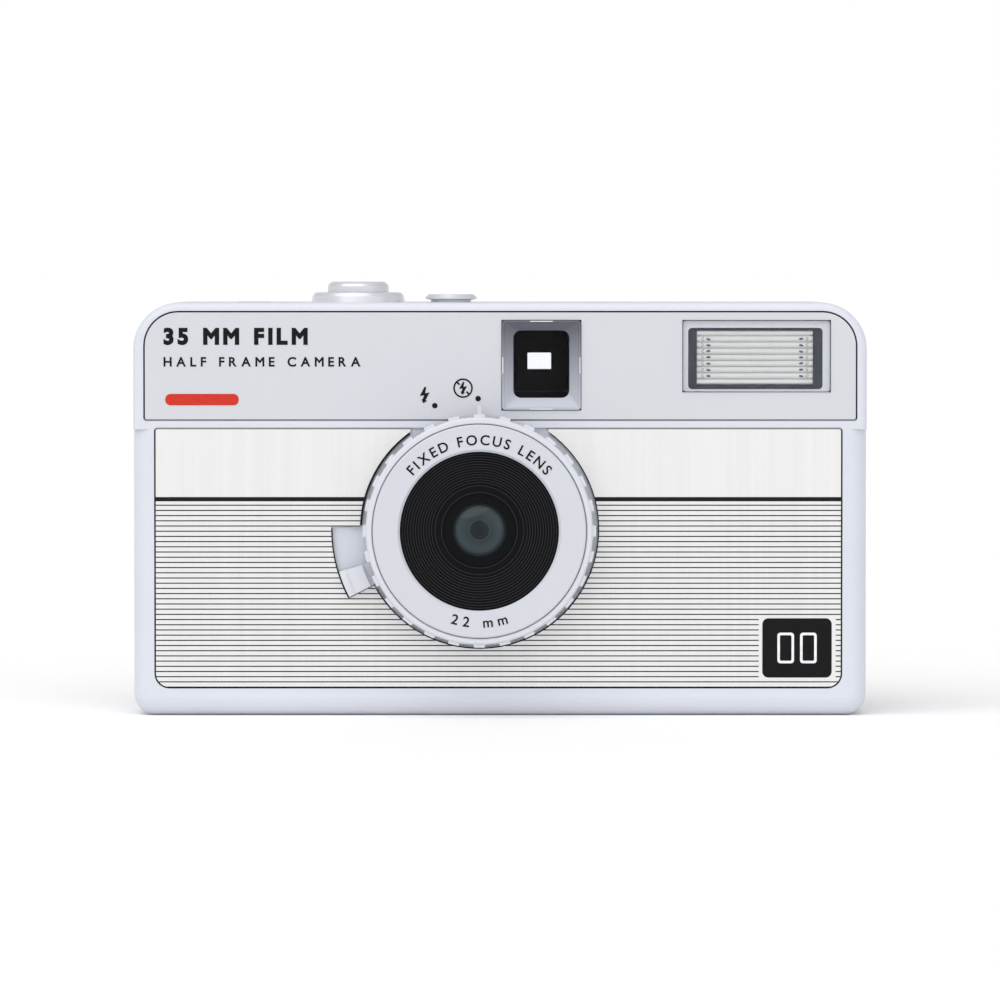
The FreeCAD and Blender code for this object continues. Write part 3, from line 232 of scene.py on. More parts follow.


# painted brightness of the lens from the axis out, over a radius of 5 mm: a painted dark disc for the
# aperture, a thin painted highlight ring at its edge and the painted grey-green reflection of the coating
lensPaintedRings = ((0, 0.1), (0.28, 0.16), (0.3, 0.75), (0.34, 0.5), (0.6, 0.85), (0.79, 0.6), (0.83, 0.02))


def glassWithPaintedRings(name, ring):
    # dark lens glass with painted light and shade: the aperture is a painted darker disc round the axis,
    # ringed by painted reflections of the coating
    low, high = (Vector(corner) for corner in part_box(ring))
    finish = Finish(name, {"Transmission Weight": 0.2, "IOR": 1.3, "Specular IOR Level": 0.4})
    axis = tuple(-(low + high) / 2)
    spots = finish.add("ShaderNodeVectorMath", {"operation": "ADD"},
                       {0: finish.add("ShaderNodeTexCoord", out="Object"), 1: axis})
    flat = finish.add("ShaderNodeVectorMath", {"operation": "MULTIPLY"}, {0: spots, 1: (200, 0, 200)})
    away = finish.add("ShaderNodeVectorMath", {"operation": "LENGTH"}, {0: flat}, "Value")
    shade = finish.ramp(away, *lensPaintedRings)
    haze = finish.noise(700, 4)
    return finish.feed(Base_Color=finish.between(shade, (0.008, 0.010, 0.012), (0.06, 0.085, 0.092)),
                       Roughness=0.03 + 0.05 * haze, Normal=finish.bump(haze, 0.02, 0.00002))


def foam(name, colour):
    finish = Finish(name, {"Sheen Weight": 0.3})
    cells = finish.add("ShaderNodeTexVoronoi", {}, {"Vector": finish.spots(), "Scale": 4000})
    return finish.feed(Base_Color=finish.between(cells, tinted(colour, 0.4), tinted(colour, 1.3)),
                       Roughness=0.85 + 0.1 * cells, Normal=finish.bump(cells, 0.6, 0.0001))


def circuitBoard(name):
    finish = Finish(name, {"IOR": 1.5})
    tracks = finish.add("ShaderNodeTexBrick", {}, {
        "Vector": finish.spots(), "Scale": 240, "Mortar Size": 0.012,
        "Color1": (1, 1, 1, 1), "Color2": (0.2, 0.2, 0.2, 1), "Mortar": (0, 0, 0, 1)}, "Fac")
    return finish.feed(Base_Color=finish.between(tracks, (0.02, 0.10, 0.045), (0.03, 0.22, 0.09)),
                       Roughness=0.3 + 0.15 * tracks, Normal=finish.bump(tracks, 0.4, 0.00005))


def printed(name, colour, roughness=0.38):
    # screen printing ink, slightly raised and a touch uneven
    finish = Finish(name, {"Specular IOR Level": 0.12})
    cover = finish.noise(1400, 4)
    return finish.feed(Base_Color=finish.between(cover, tinted(colour, 0.8), tinted(colour, 1.15)),
                       Roughness=roughness + 0.14 * cover, Normal=finish.bump(cover, 0.15, 0.00001))


upright = (9000, 9000, 60)  # hairs that run up and down
finishes = {
    "casing_white": moulded("casingWhite", (0.60, 0.62, 0.68), 0.38, 0.22),
    "panel_white": moulded("panelWhite", (0.555, 0.567, 0.605), 0.36, 0.16, 0.02),
    "brushed_plate": brushed("brushedPlate", (0.755, 0.755, 0.75), 0.34, upright, 0.85, 0.22, 0.05),
    "ring_white": moulded("ringWhite", (0.60, 0.615, 0.665), 0.36, 0.18),
    "bezel_white": moulded("bezelWhite", (0.545, 0.56, 0.61), 0.38, 0.15, 0.02),
    "lever_white": moulded("leverWhite", (0.62, 0.635, 0.68), 0.28, 0.1),
    "black_plastic": moulded("blackPlastic", (0.0045, 0.0045, 0.006), 0.42, 0.3, 0.15,
                             Specular_IOR_Level=0.07),
    "blackened_metal": moulded("blackenedMetal", (0.012, 0.012, 0.014), 0.35, 0.15, 0.2,
                               Specular_IOR_Level=0.2),
    "button_silver": moulded("buttonSilver", (0.60, 0.615, 0.65), 0.24, 0.1, 0.02, Metallic=0.35,
                             Coat_Weight=0.3),
    # painted shade on the viewfinder bezel's slopes, light at the foot and dark at the top
    "finder_grey": paintedShadeUpward("finderGreyPaintedShade", (0.42, 0.44, 0.50), (0.10, 0.105, 0.13), 46 * mm, 59 * mm),
    "flash_dark": moulded("flashDark", (0.062, 0.065, 0.08), 0.3, 0.1, Specular_IOR_Level=0.2),
    "flash_pane": seeThrough("flashPane", (0.76, 0.757, 0.735), 0.18, 0.04),
    "clear_plastic": seeThrough("clearPlastic", (0.97, 0.98, 1.0), 0.02, 1.0, IOR=1.12),
    "lens_glass": glassWithPaintedRings("lensGlass", "lens_name_ring"),
    "mirror_foil": brushed("mirrorFoil", (0.9, 0.9, 0.9), 0.12, (60, 4000, 4000), 1.0, 0.1, 0.05),
    "steel": turnedMetal("plainSteel", (0.52, 0.53, 0.55), 0.26),
    "spring_steel": turnedMetal("springSteel", (0.64, 0.64, 0.63), 0.2),
    "brass": turnedMetal("turnedBrass", (0.76, 0.58, 0.30), 0.24),
    "foam": foam("sealFoam", (0.02, 0.02, 0.02)),
    "board_green": circuitBoard("circuitBoard"),
    "capacitor_sleeve": moulded("capacitorSleeve", (0.02, 0.025, 0.06), 0.2, 0.05),
    "battery_jacket": moulded("batteryJacket", (0.05, 0.06, 0.09), 0.22, 0.08, 0.1, Metallic=0.5),
}
blackInk = printed("blackInk", (0.005, 0.005, 0.006))
redInk = printed("redInk", (0.56, 0.035, 0.02))
# white ink for print, also used for the painted highlights on the viewfinder bezel
whiteInkAndHighlight = printed("whiteInkAndHighlight", (0.78, 0.79, 0.81))
# black of the real ink in the plate's engraved lines, also used for painted shadow in gaps
grooveInkAndShade = printed("grooveInkAndShade", (0.012, 0.012, 0.012), 0.5)
stopGrey = moulded("stopGrey", (0.035, 0.05, 0.055), 0.5, 0.2, Specular_IOR_Level=0.1)
# grey of the painted shade between the flash pane's bars and of its painted reflections
paneShade = moulded("paneShade", (0.22, 0.22, 0.20), 0.4, 0.1)
# grey of the painted shade in the gap where the two plates meet
gapShadeGrey = moulded("gapShadeGrey", (0.20, 0.205, 0.22), 0.5, 0.1)
rimPale = moulded("rimPale", (0.69, 0.70, 0.73), 0.3, 0.1, 0.02)
# slightly lighter black for the painted highlights on the funnel's steps
litEdgeBlack = moulded("litEdgeBlack", (0.018, 0.019, 0.023), 0.3, 0.1, 0.1, Specular_IOR_Level=0.2)
# dark of the painted glints on the flash pane
glintShade = moulded("glintShade", (0.10, 0.10, 0.13), 0.25, 0.1)

slotOf = {part["node"]: part["material_slot"] for part in frame["record"]["subparts"]}
for nodeName, obj in nodes.items():
    obj.data.materials.clear()
    obj.data.materials.append(stopGrey if nodeName == "aperture_plate" else finishes[slotOf[nodeName]])
print("finishes ready:", len(finishes))


# mesh tools
def makeObject(name, mesh, material, body):
    obj = bpy.data.objects.new(name, mesh)
    bpy.context.collection.objects.link(obj)
    if material is not None:
        mesh.materials.clear()
        mesh.materials.append(material)
    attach(obj, body)
    return obj


def fromBmesh(name, bm, material, body, sharp=40):
    bmesh.ops.recalc_face_normals(bm, faces=bm.faces)
    mesh = bpy.data.meshes.new(name)
    bm.to_mesh(mesh)
    bm.free()
    smooth(mesh, sharp)
    return makeObject(name, mesh, material, body)


def smooth(mesh, sharp=40):
    for face in mesh.polygons:
        face.use_smooth = True
    mesh.set_sharp_from_angle(angle=math.radians(sharp))


def keepFlat(mesh):
    # every face keeps its own normal, so long thin ones don't shade askew
    if "custom_normal" in mesh.attributes:
        mesh.attributes.remove(mesh.attributes["custom_normal"])
    for face in mesh.polygons:
        face.use_smooth = False


def roundedLoop(left, low, right, high, radius, y, steps=6):
    # corner points of a rounded rectangle that faces the front
    points = []
    for k, (x, z) in enumerate(((right, low), (right, high), (left, high), (left, low))):
        cx = x - radius if x == right else x + radius
        cz = z - radius if z == high else z + radius
        for step in range(steps + 1):
            turn = math.radians(-90 + 90 * k + 90 * step / steps)
            points.append(Vector((cx + radius * math.cos(turn), y, cz + radius * math.sin(turn))))
    return points


def loft(bm, loops, closed=False, capStart=False, capEnd=False):
    rings = [[bm.verts.new(point) for point in loop] for loop in loops]
    pairs = list(zip(rings, rings[1:]))
    if closed:
        pairs.append((rings[-1], rings[0]))
    for first, second in pairs:
        for k in range(len(first)):
            bm.faces.new((first[k - 1], first[k], second[k], second[k - 1]))
    if capStart:
        bm.faces.new(rings[0])
    if capEnd:
        bm.faces.new(rings[-1])


def block(bm, low, high):
    centre = (Vector(low) + Vector(high)) / 2
    sides = Vector(high) - Vector(low)
    place = Matrix.Translation(centre) @ Matrix.Diagonal((*sides, 1))
    bmesh.ops.create_cube(bm, size=1, matrix=place)


def flatShape(bm, outline, y, thick):
    # an outline of (x, z) points turned into a thin plate that faces the front
    front = [bm.verts.new((x, y - thick, z)) for x, z in outline]
    back = [bm.verts.new((x, y, z)) for x, z in outline]
    bm.faces.new(front)
    bm.faces.new(list(reversed(back)))
    for k in range(len(outline)):
        bm.faces.new((front[k - 1], front[k], back[k], back[k - 1]))


def circlePoints(x, z, radius, count=40):
    turns = [2 * math.pi * k / count for k in range(count)]
    return [(x + radius * math.cos(turn), z + radius * math.sin(turn)) for turn in turns]


def flatRing(bm, x, z, outer, inner, y, thick, count=56):
    # a closed flat ring that faces the front
    loops = []
    for radius, depth in ((outer, y), (outer, y - thick), (inner, y - thick), (inner, y)):
        loops.append([Vector((px, depth, pz)) for px, pz in circlePoints(x, z, radius, count)])
    loft(bm, loops, closed=True)


def arcStrip(bm, x, z, inner, outer, start, end, y, thick):
    # part of a flat ring; angles in degrees, anticlockwise from +X
    steps = max(2, round((end - start) / 4))
    turns = [math.radians(start + (end - start) * k / steps) for k in range(steps + 1)]
    outline = [(x + outer * math.cos(turn), z + outer * math.sin(turn)) for turn in turns]
    outline += [(x + inner * math.cos(turn), z + inner * math.sin(turn)) for turn in reversed(turns)]
    last = len(outline) - 1
    for k in range(steps):
        flatShape(bm, [outline[k], outline[k + 1], outline[last - k - 1], outline[last - k]], y, thick)


def boxMiddle(name):
    low, high = (Vector(corner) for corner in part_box(name))
    return low, high, (low + high) / 2


# lower plate: engraved lines filled with black
plate = {"pitch": 0.78 * mm, "lineWide": 0.17 * mm, "lineDeep": 0.14 * mm, "lines": 36,
         "topLine": 31.62 * mm, "bandLow": 32.2 * mm, "bandHigh": 32.85 * mm,
         "badgeLeft": 38.8 * mm, "badgeRight": 50.35 * mm, "badgeLow": 5.3 * mm, "badgeHigh": 15 * mm}


def makePlate():
    low, high, _ = boxMiddle("lower_front_plate")
    front = low.y
    bm = bmesh.new()

    def groove(left, right, bottom, top):
        block(bm, (left, front - mm, bottom), (right, front + plate["lineDeep"], top))

    groove(low.x - mm, high.x + mm, plate["bandLow"], plate["bandHigh"])
    for k in range(plate["lines"]):
        z = plate["topLine"] - k * plate["pitch"]
        spans = [(low.x - mm, high.x + mm)]
        if plate["badgeLow"] < z < plate["badgeHigh"]:
            spans = [(low.x - mm, plate["badgeLeft"]), (plate["badgeRight"], high.x + mm)]
        for left, right in spans:
            groove(left, right, z - plate["lineWide"] / 2, z + plate["lineWide"] / 2)
    cutterMesh = bpy.data.meshes.new("cutter")
    bm.to_mesh(cutterMesh)
    bm.free()
    cutterMesh.materials.append(grooveInkAndShade)
    cutter = bpy.data.objects.new("cutter", cutterMesh)
    bpy.context.collection.objects.link(cutter)

    source = nodes["lower_front_plate"]
    blank = bpy.data.objects.new("blank", source.data.copy())
    bpy.context.collection.objects.link(blank)
    carve = blank.modifiers.new("grooves", "BOOLEAN")
    carve.object = cutter
    carve.operation = "DIFFERENCE"
    carve.solver = "EXACT"
    carve.material_mode = "TRANSFER"
    bpy.context.view_layer.update()
    result = blank.evaluated_get(bpy.context.evaluated_depsgraph_get())
    mesh = bpy.data.meshes.new_from_object(result)
    for used in (blank, cutter):
        bpy.data.objects.remove(used)
    mesh.name = "engravedPlate"
    keepFlat(mesh)
    obj = makeObject("engraved_plate", mesh, None, "camera")
    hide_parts("lower_front_plate")


makePlate()
print("plate engraved")


# painted shadow: dark line inside the round opening and round the lever's recess
wellShade = {"under": 0.03 * mm, "thick": 0.3 * mm,
             "arcs": ((17.78, 17.94, 210, 414), (17.62, 17.94, 126, 178), (22.06, 22.24, 179.5, 207.5))}


def makeWellShade():
    _, _, middle = boxMiddle("lens_name_ring")
    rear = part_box("lower_front_plate")[0][1] + wellShade["under"] + wellShade["thick"]
    bm = bmesh.new()
    for inner, outer, start, end in wellShade["arcs"]:
        arcStrip(bm, middle.x, middle.z, inner * mm, outer * mm, start, end, rear, wellShade["thick"])
    fromBmesh("well_shade", bm, grooveInkAndShade, "camera")


makeWellShade()


# painted shadow: dark strips in the gaps round the two plates
gapShade = {"wide": 0.22 * mm, "clear": 0.02 * mm, "under": 0.12 * mm, "tall": 0.1 * mm,
        "paleLow": 42.9 * mm, "paleHigh": 44.6 * mm, "opening": 10.4 * mm,
        "panelRounds": (0.3 * mm, 5 * mm), "plateRounds": (2 * mm, 0.3 * mm)}


def gapShadeLoop(node, spread, rounds, middle, y):
    # the plate's outline, spread, with two more points in its top edge
    low, high, _ = boxMiddle(node)
    edges = (low.x - spread, low.z - spread, high.x + spread, high.z + spread)
    foot, top = (roundedLoop(*edges, size + spread, y) for size in rounds)
    ends = [Vector((middle + side * gapShade["opening"], y, high.z + spread)) for side in (1, -1)]
    quarter = len(foot) // 4
    upper = top[quarter:2 * quarter] + ends + top[2 * quarter:3 * quarter]
    return foot[:quarter] + upper + foot[3 * quarter:]


def makeGapShade(name, node, rounds, gapped):
    lensX = boxMiddle("lens_name_ring")[2].x
    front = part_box(node)[0][1] + gapShade["under"]
    wide, clear, tall = gapShade["wide"], gapShade["clear"], gapShade["tall"]
    bm = bmesh.new()
    loft(bm, [gapShadeLoop(node, spread, rounds, lensX, front + depth)
              for spread, depth in ((clear, 0), (wide, 0), (wide, tall), (clear, tall))], closed=True)
    if gapped:
        # the painted shadow stops on both sides of the round opening
        centres = [(face, face.calc_center_median()) for face in bm.faces]
        spare = [face for face, spot in centres if spot.z > gapShade["paleLow"] and abs(spot.x - lensX) < mm]
        bmesh.ops.delete(bm, geom=spare, context="FACES")
        bmesh.ops.holes_fill(bm, edges=bm.edges, sides=4)
    obj = fromBmesh(name, bm, grooveInkAndShade, "camera")
    # painted shade, paler where the two plates meet
    obj.data.materials.append(gapShadeGrey)
    for face in obj.data.polygons:
        if gapShade["paleLow"] < face.center.z < gapShade["paleHigh"]:
            face.material_index = 1


makeGapShade("panel_gap_shade", "upper_front_panel", gapShade["panelRounds"], False)
makeGapShade("plate_gap_shade", "lower_front_plate", gapShade["plateRounds"], True)


# viewfinder
finder = {"rim": 0.28 * mm, "edge": 0.06 * mm, "bevelDeep": 1.0 * mm, "corner": 1.15 * mm,
          "highlightLong": 1.7 * mm, "highlightTall": 1.2 * mm, "highlightThin": 0.13 * mm,
          "hole": (4.15 * mm, 51.85 * mm, 7.7 * mm, 54.4 * mm), "baffleAt": -4 * mm, "baffleThick": 0.4 * mm}


def makeFinder():
    low, high, _ = boxMiddle("viewfinder_frame")
    inLow, inHigh, _ = boxMiddle("viewfinder_window")
    front, rear = low.y, high.y
    rim, edge = finder["rim"], finder["edge"]
    inside = (inLow.x, inLow.z, inHigh.x, inHigh.z, finder["corner"])
    bm = bmesh.new()
    loft(bm, [
        roundedLoop(low.x, low.z, high.x, high.z, 0.45 * mm, rear),
        roundedLoop(low.x, low.z, high.x, high.z, 0.45 * mm, front + edge),
        roundedLoop(low.x + edge, low.z + edge, high.x - edge, high.z - edge, 0.4 * mm, front),
        roundedLoop(low.x + rim, low.z + rim, high.x - rim, high.z - rim, 0.3 * mm, front),
        roundedLoop(low.x + rim + edge, low.z + rim + edge, high.x - rim - edge, high.z - rim - edge,
                    0.3 * mm, front + 2 * edge),
        roundedLoop(*inside, front + finder["bevelDeep"]),
        roundedLoop(*inside, front + finder["bevelDeep"] + edge),
        roundedLoop(*inside, rear),
    ], closed=True)
    obj = fromBmesh("finder_bezel", bm, finishes["finder_grey"], "camera", 25)
    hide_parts("viewfinder_frame")

    # small painted highlight in the middle of each side
    bm = bmesh.new()
    middleX, middleZ = (low.x + high.x) / 2, (low.z + high.z) / 2
    longX, longZ, thin = finder["highlightLong"], finder["highlightTall"], finder["highlightThin"]
    proud, sunk, inset = front - 0.03 * mm, front + 0.1 * mm, rim * 0.2
    for side in (low.z + inset, high.z - inset - thin):
        block(bm, (middleX - longX, proud, side), (middleX + longX, sunk, side + thin))
    for side in (low.x + inset, high.x - inset - thin):
        block(bm, (side, proud, middleZ - longZ), (side + thin, sunk, middleZ + longZ))
    fromBmesh("finder_highlights", bm, whiteInkAndHighlight, "camera")

    # baffle that frames the sight line inside the tunnel
    bm = bmesh.new()
    near = finder["baffleAt"]
    far = near + finder["baffleThick"]
    slack = 0.1 * mm
    baffle = (inLow.x + slack, inLow.z + 9 * slack, inHigh.x - slack, inHigh.z - slack, 0.6 * mm)
    hole = (*finder["hole"], 0.15 * mm)
    loft(bm, [roundedLoop(*baffle, near), roundedLoop(*hole, near), roundedLoop(*hole, far),
              roundedLoop(*baffle, far)], closed=True)
    fromBmesh("finder_baffle", bm, finishes["black_plastic"], "camera")


makeFinder()


# flash
flash = {"ribs": 9, "ribDeep": 0.42 * mm, "samples": 8, "lineTall": 0.1 * mm,
         "frameLeft": 1.3 * mm, "frameRight": 1.45 * mm, "frameLow": 0.6 * mm, "frameHigh": 0.3 * mm,
         "glintIn": 1.75 * mm, "glintLong": 0.34 * mm, "glintTall": 0.17 * mm,
         "bendReflectionWide": 0.14 * mm, "paintedThick": 0.02 * mm}


def makeFlashPane():
    # ribbed pane: a wave of rounded bars on a thin sheet
    low, high, _ = boxMiddle("flash_pane")
    bm = bmesh.new()
    rows = []
    steps = flash["ribs"] * flash["samples"]
    for k in range(steps + 1):
        z = low.z + (high.z - low.z) * k / steps
        swell = abs(math.sin(math.pi * k / flash["samples"])) ** 0.7
        rows.append((low.y + flash["ribDeep"] * (1 - swell), z))
    outline = rows + [(high.y, high.z), (high.y, low.z)]
    left = [bm.verts.new((low.x, y, z)) for y, z in outline]
    right = [bm.verts.new((high.x, y, z)) for y, z in outline]
    for k in range(len(outline)):
        bm.faces.new((left[k - 1], left[k], right[k], right[k - 1]))
    bm.faces.new(left)
    bm.faces.new(list(reversed(right)))
    obj = fromBmesh("ribbed_flash_pane", bm, finishes["flash_pane"], "camera", 50)
    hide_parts("flash_pane")


def makeFlashShade():
    # painted shade between the bars, painted dark glints and painted reflections of the bent ends of the
    # reflector
    low, high, _ = boxMiddle("flash_pane")
    bm = bmesh.new()
    ends = bmesh.new()
    bendReflections = bmesh.new()
    pitch = (high.z - low.z) / flash["ribs"]
    valley = low.y + flash["ribDeep"] - 0.01 * mm
    for k in range(1, flash["ribs"]):
        z = low.z + pitch * k
        block(bm, (low.x + 0.1 * mm, valley - 0.04 * mm, z - flash["lineTall"] / 2),
              (high.x - 0.1 * mm, valley, z + flash["lineTall"] / 2))
    fromBmesh("pane_valley_shade", bm, paneShade, "camera")
    for k in range(1, flash["ribs"] - 1):
        z = low.z + pitch * (k + 0.5)
        long, tall = flash["glintLong"], flash["glintTall"]
        for x, side in ((low.x + flash["glintIn"], 1), (high.x - flash["glintIn"], -1)):
            lean = math.sin(5 * k + side)
            blot = [(x + (px - x) * long / tall, pz + (px - x) * 0.3 * lean)
                    for px, pz in circlePoints(x, z + 0.05 * mm * lean, tall, 14)]
            flatShape(ends, blot, low.y, flash["paintedThick"])
            outer, broad = x - side * 2.6 * long, flash["bendReflectionWide"] / 2
            stroke = [(outer + 0.25 * mm * math.sin(4 * step + 3 * k + side), z + (step - 2) * 0.16 * mm)
                      for step in range(5)]
            for (x1, z1), (x2, z2) in zip(stroke, stroke[1:]):
                flatShape(bendReflections, [(x1 - broad, z1), (x1 + broad, z1), (x2 + broad, z2), (x2 - broad, z2)],
                          low.y, flash["paintedThick"])
    fromBmesh("pane_glints", ends, glintShade, "camera")
    fromBmesh("pane_bend_reflections", bendReflections, paneShade, "camera")


def makeFlashRim():
    # pale edge of the clear window in front of the dark frame
    low, high, _ = boxMiddle("flash_window")
    paneLow, paneHigh, _ = boxMiddle("flash_pane")
    rear = high.y + 0.02 * mm
    edge = 0.05 * mm
    inner = (paneLow.x - flash["frameLeft"], paneLow.z - flash["frameLow"],
             paneHigh.x + flash["frameRight"], paneHigh.z + flash["frameHigh"])
    outer = (low.x + edge, low.z + edge, high.x - edge, high.z - edge)
    bm = bmesh.new()
    loft(bm, [roundedLoop(*outer, 0.35 * mm, rear), roundedLoop(*outer, 0.35 * mm, rear + edge),
              roundedLoop(*inner, 0.6 * mm, rear + edge), roundedLoop(*inner, 0.6 * mm, rear)], closed=True)
    fromBmesh("flash_rim", bm, rimPale, "camera")


makeFlashPane()
makeFlashShade()
makeFlashRim()
print("viewfinder and flash ready")


# funnel round the lens
funnel = {"steps": 13, "mouth": 11.85 * mm, "ridgeIn": 5.6 * mm, "ridgeOut": 6.7 * mm, "front": 18.6 * mm,
          "floor": 15.1 * mm, "wide": 0.11 * mm, "thick": 0.05 * mm}


def makeFunnel():
    # a fine painted highlight on the edge of every step of the funnel
    _, _, middle = boxMiddle("lens_name_ring")
    run = (funnel["mouth"] - funnel["ridgeOut"]) / funnel["steps"]
    rise = (funnel["front"] - funnel["floor"]) / funnel["steps"]
    edges = [(funnel["ridgeIn"] + funnel["wide"], funnel["floor"]), (funnel["ridgeOut"], funnel["floor"])]
    edges += [(funnel["ridgeOut"] + run * k + funnel["wide"], funnel["floor"] + rise * k)
              for k in range(1, funnel["steps"])]
    bm = bmesh.new()
    for radius, ahead in edges:
        flatRing(bm, middle.x, middle.z, radius, radius - funnel["wide"], -ahead, funnel["thick"], 72)
    fromBmesh("funnel_edge_highlights", bm, litEdgeBlack, "camera")


makeFunnel()


# springs
springs = {
    "button_coil": ("button_spring", 6, 0.24 * mm, "shutter_button_press", 0.76, False),
    "rewind_coil": ("rewind_button_spring", 4, 0.19 * mm, "rewind_button_press", 0.57, True),
}


def makeSpring(name, node, turns, wire, joint, keep, anchorHigh):
    # open coil with flat end turns, in place of the plain sleeve
    low, high, middle = boxMiddle(node)
    radius = (high.x - low.x) / 2 - wire
    curve = bpy.data.curves.new(name, "CURVE")
    curve.dimensions = "3D"
    curve.bevel_depth = wire
    curve.bevel_resolution = 3
    curve.use_fill_caps = True
    line = curve.splines.new("POLY")
    steps = turns * 24
    line.points.add(steps)
    bottom, top = low.z + wire, high.z - wire
    for k in range(steps + 1):
        along = k / steps
        ease = along - math.sin(2 * math.pi * along) / (2 * math.pi) * 0.6
        turn = 2 * math.pi * turns * along
        x, y = middle.x + radius * math.cos(turn), middle.y + radius * math.sin(turn)
        line.points[k].co = (x, y, bottom + (top - bottom) * ease, 1)
    blank = bpy.data.objects.new("coil", curve)
    bpy.context.collection.objects.link(blank)
    bpy.context.view_layer.update()
    mesh = bpy.data.meshes.new_from_object(blank.evaluated_get(bpy.context.evaluated_depsgraph_get()))
    bpy.data.objects.remove(blank)
    smooth(mesh, 60)
    mesh.name = name
    obj = makeObject(name, mesh, finishes["spring_steel"], "camera")
    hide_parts(node)
    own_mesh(obj)


for coilName, facts in springs.items():
    makeSpring(coilName, *facts)
print("springs wound")


# printed marks
marks = {"thick": 0.04 * mm, "sink": 0.01 * mm}


def letterMesh(text, height, bold):
    # one letter as a thin plate that faces the front, with its strokes made bolder all round
    curve = bpy.data.curves.new("letters", "FONT")
    curve.body = text
    curve.size = 1
    curve.resolution_u = 5
    curve.extrude = 0.1
    curve.bevel_depth = bold
    curve.bevel_resolution = 2
    blank = bpy.data.objects.new("letters", curve)
    bpy.context.collection.objects.link(blank)
    bpy.context.view_layer.update()
    mesh = bpy.data.meshes.new_from_object(blank.evaluated_get(bpy.context.evaluated_depsgraph_get()))
    bpy.data.objects.remove(blank)
    capHeight = 0.682  # capitals of the built-in font
    scale = height / (capHeight + 2 * bold)
    depth = marks["thick"] / (0.1 + bold)
    for vertex in mesh.vertices:
        x, z, y = vertex.co
        vertex.co = (x * scale, -y * depth, (z + bold) * scale)
    return mesh


def addMesh(bm, mesh, matrix):
    start = len(bm.verts)
    bm.from_mesh(mesh)
    bm.verts.ensure_lookup_table()
    bmesh.ops.transform(bm, matrix=matrix, verts=bm.verts[start:])
    bpy.data.meshes.remove(mesh)


def widthOf(mesh):
    across = [vertex.co.x for vertex in mesh.vertices]
    return (max(across) - min(across)) if across else 0


def boltOutline(x, z, tall):
    # a plain lightning stroke
    shape = ((-0.01, 0.49), (-0.30, -0.06), (-0.03, -0.02), (-0.13, -0.29), (-0.19, -0.27), (-0.08, -0.52),
             (0.16, -0.36), (0.06, -0.33), (0.31, 0.16), (0.04, 0.10), (0.10, 0.49))
    return [(x + px * tall, z + pz * tall) for px, pz in shape]


# each row: words, foot, height, width, boldness
panelMarks = {"left": -50.4 * mm,
              "rows": (("35 MM FILM", 55.65 * mm, 2.55 * mm, 21.6 * mm, 0.052),
                       ("HALF FRAME CAMERA", 52.4 * mm, 1.42 * mm, 29.5 * mm, 0.024)),
              "barLow": 46.6 * mm, "barHigh": 48.3 * mm, "barLong": 11 * mm}


def makePanelMarks():
    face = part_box("upper_front_panel")[0][1] - marks["sink"]
    bm = bmesh.new()
    for text, base, tall, wide, bold in panelMarks["rows"]:
        pieces = [(letterMesh(letter, tall, bold) if letter != " " else None) for letter in text]
        widths = [widthOf(mesh) if mesh else tall * 0.4 for mesh in pieces]
        gap = (wide - sum(widths)) / (len(text) - 1)
        x = panelMarks["left"]
        for mesh, step in zip(pieces, widths):
            if mesh:
                first = min(vertex.co.x for vertex in mesh.vertices)
                addMesh(bm, mesh, Matrix.Translation((x - first, face, base)))
            x += step + gap
    fromBmesh("panel_lettering", bm, blackInk, "camera")

    bm = bmesh.new()
    low, high = panelMarks["barLow"], panelMarks["barHigh"]
    left = panelMarks["left"] + 0.25 * mm
    bar = roundedLoop(left, low, left + panelMarks["barLong"], high, (high - low) / 2.2, 0)
    flatShape(bm, [(point.x, point.z) for point in bar], face, marks["thick"])
    fromBmesh("red_bar", bm, redInk, "camera")


lensMarks = {"radius": 12.85 * mm, "tall": 1.5 * mm, "gap": 0.5 * mm}


def makeLensMarks():
    low, _, middle = boxMiddle("lens_name_ring")
    face = low.y - marks["sink"]
    bm = bmesh.new()
    for text, up in (("FIXED FOCUS LENS", True), ("22 mm", False)):
        pieces = []
        for letter in text:
            mesh = letterMesh(letter, lensMarks["tall"], 0.014) if letter != " " else None
            pieces.append((mesh, widthOf(mesh) if mesh else lensMarks["tall"] * 0.35))
        gap = lensMarks["gap"] * (1 if up else 1.5)
        total = sum(wide for _, wide in pieces) + gap * (len(pieces) - 1)
        radius = lensMarks["radius"] if up else lensMarks["radius"] + lensMarks["tall"]
        along = -total / 2
        for mesh, wide in pieces:
            centre = along + wide / 2
            along += wide + gap
            if mesh is None:
                continue
            first = min(vertex.co.x for vertex in mesh.vertices)
            turn = centre / (radius + (0.5 if up else -0.5) * lensMarks["tall"])
            spin = turn if up else -turn
            place = (Matrix.Translation((middle.x, face, middle.z)) @ Matrix.Rotation(spin, 4, "Y")
                     @ Matrix.Translation((-first - wide / 2, 0, radius if up else -radius)))
            addMesh(bm, mesh, place)
    fromBmesh("lens_lettering", bm, blackInk, "camera")


switchMarks = {"dots": ((-9.77, 46.55), (-3.28, 47.6)), "dotWide": 0.41,
               "bolt": (-11.3, 48.15), "boltTall": 2.4,
               "offBolt": (-5.54, 49.17), "offTall": 1.9, "ringOut": 1.46, "ringIn": 1.22}


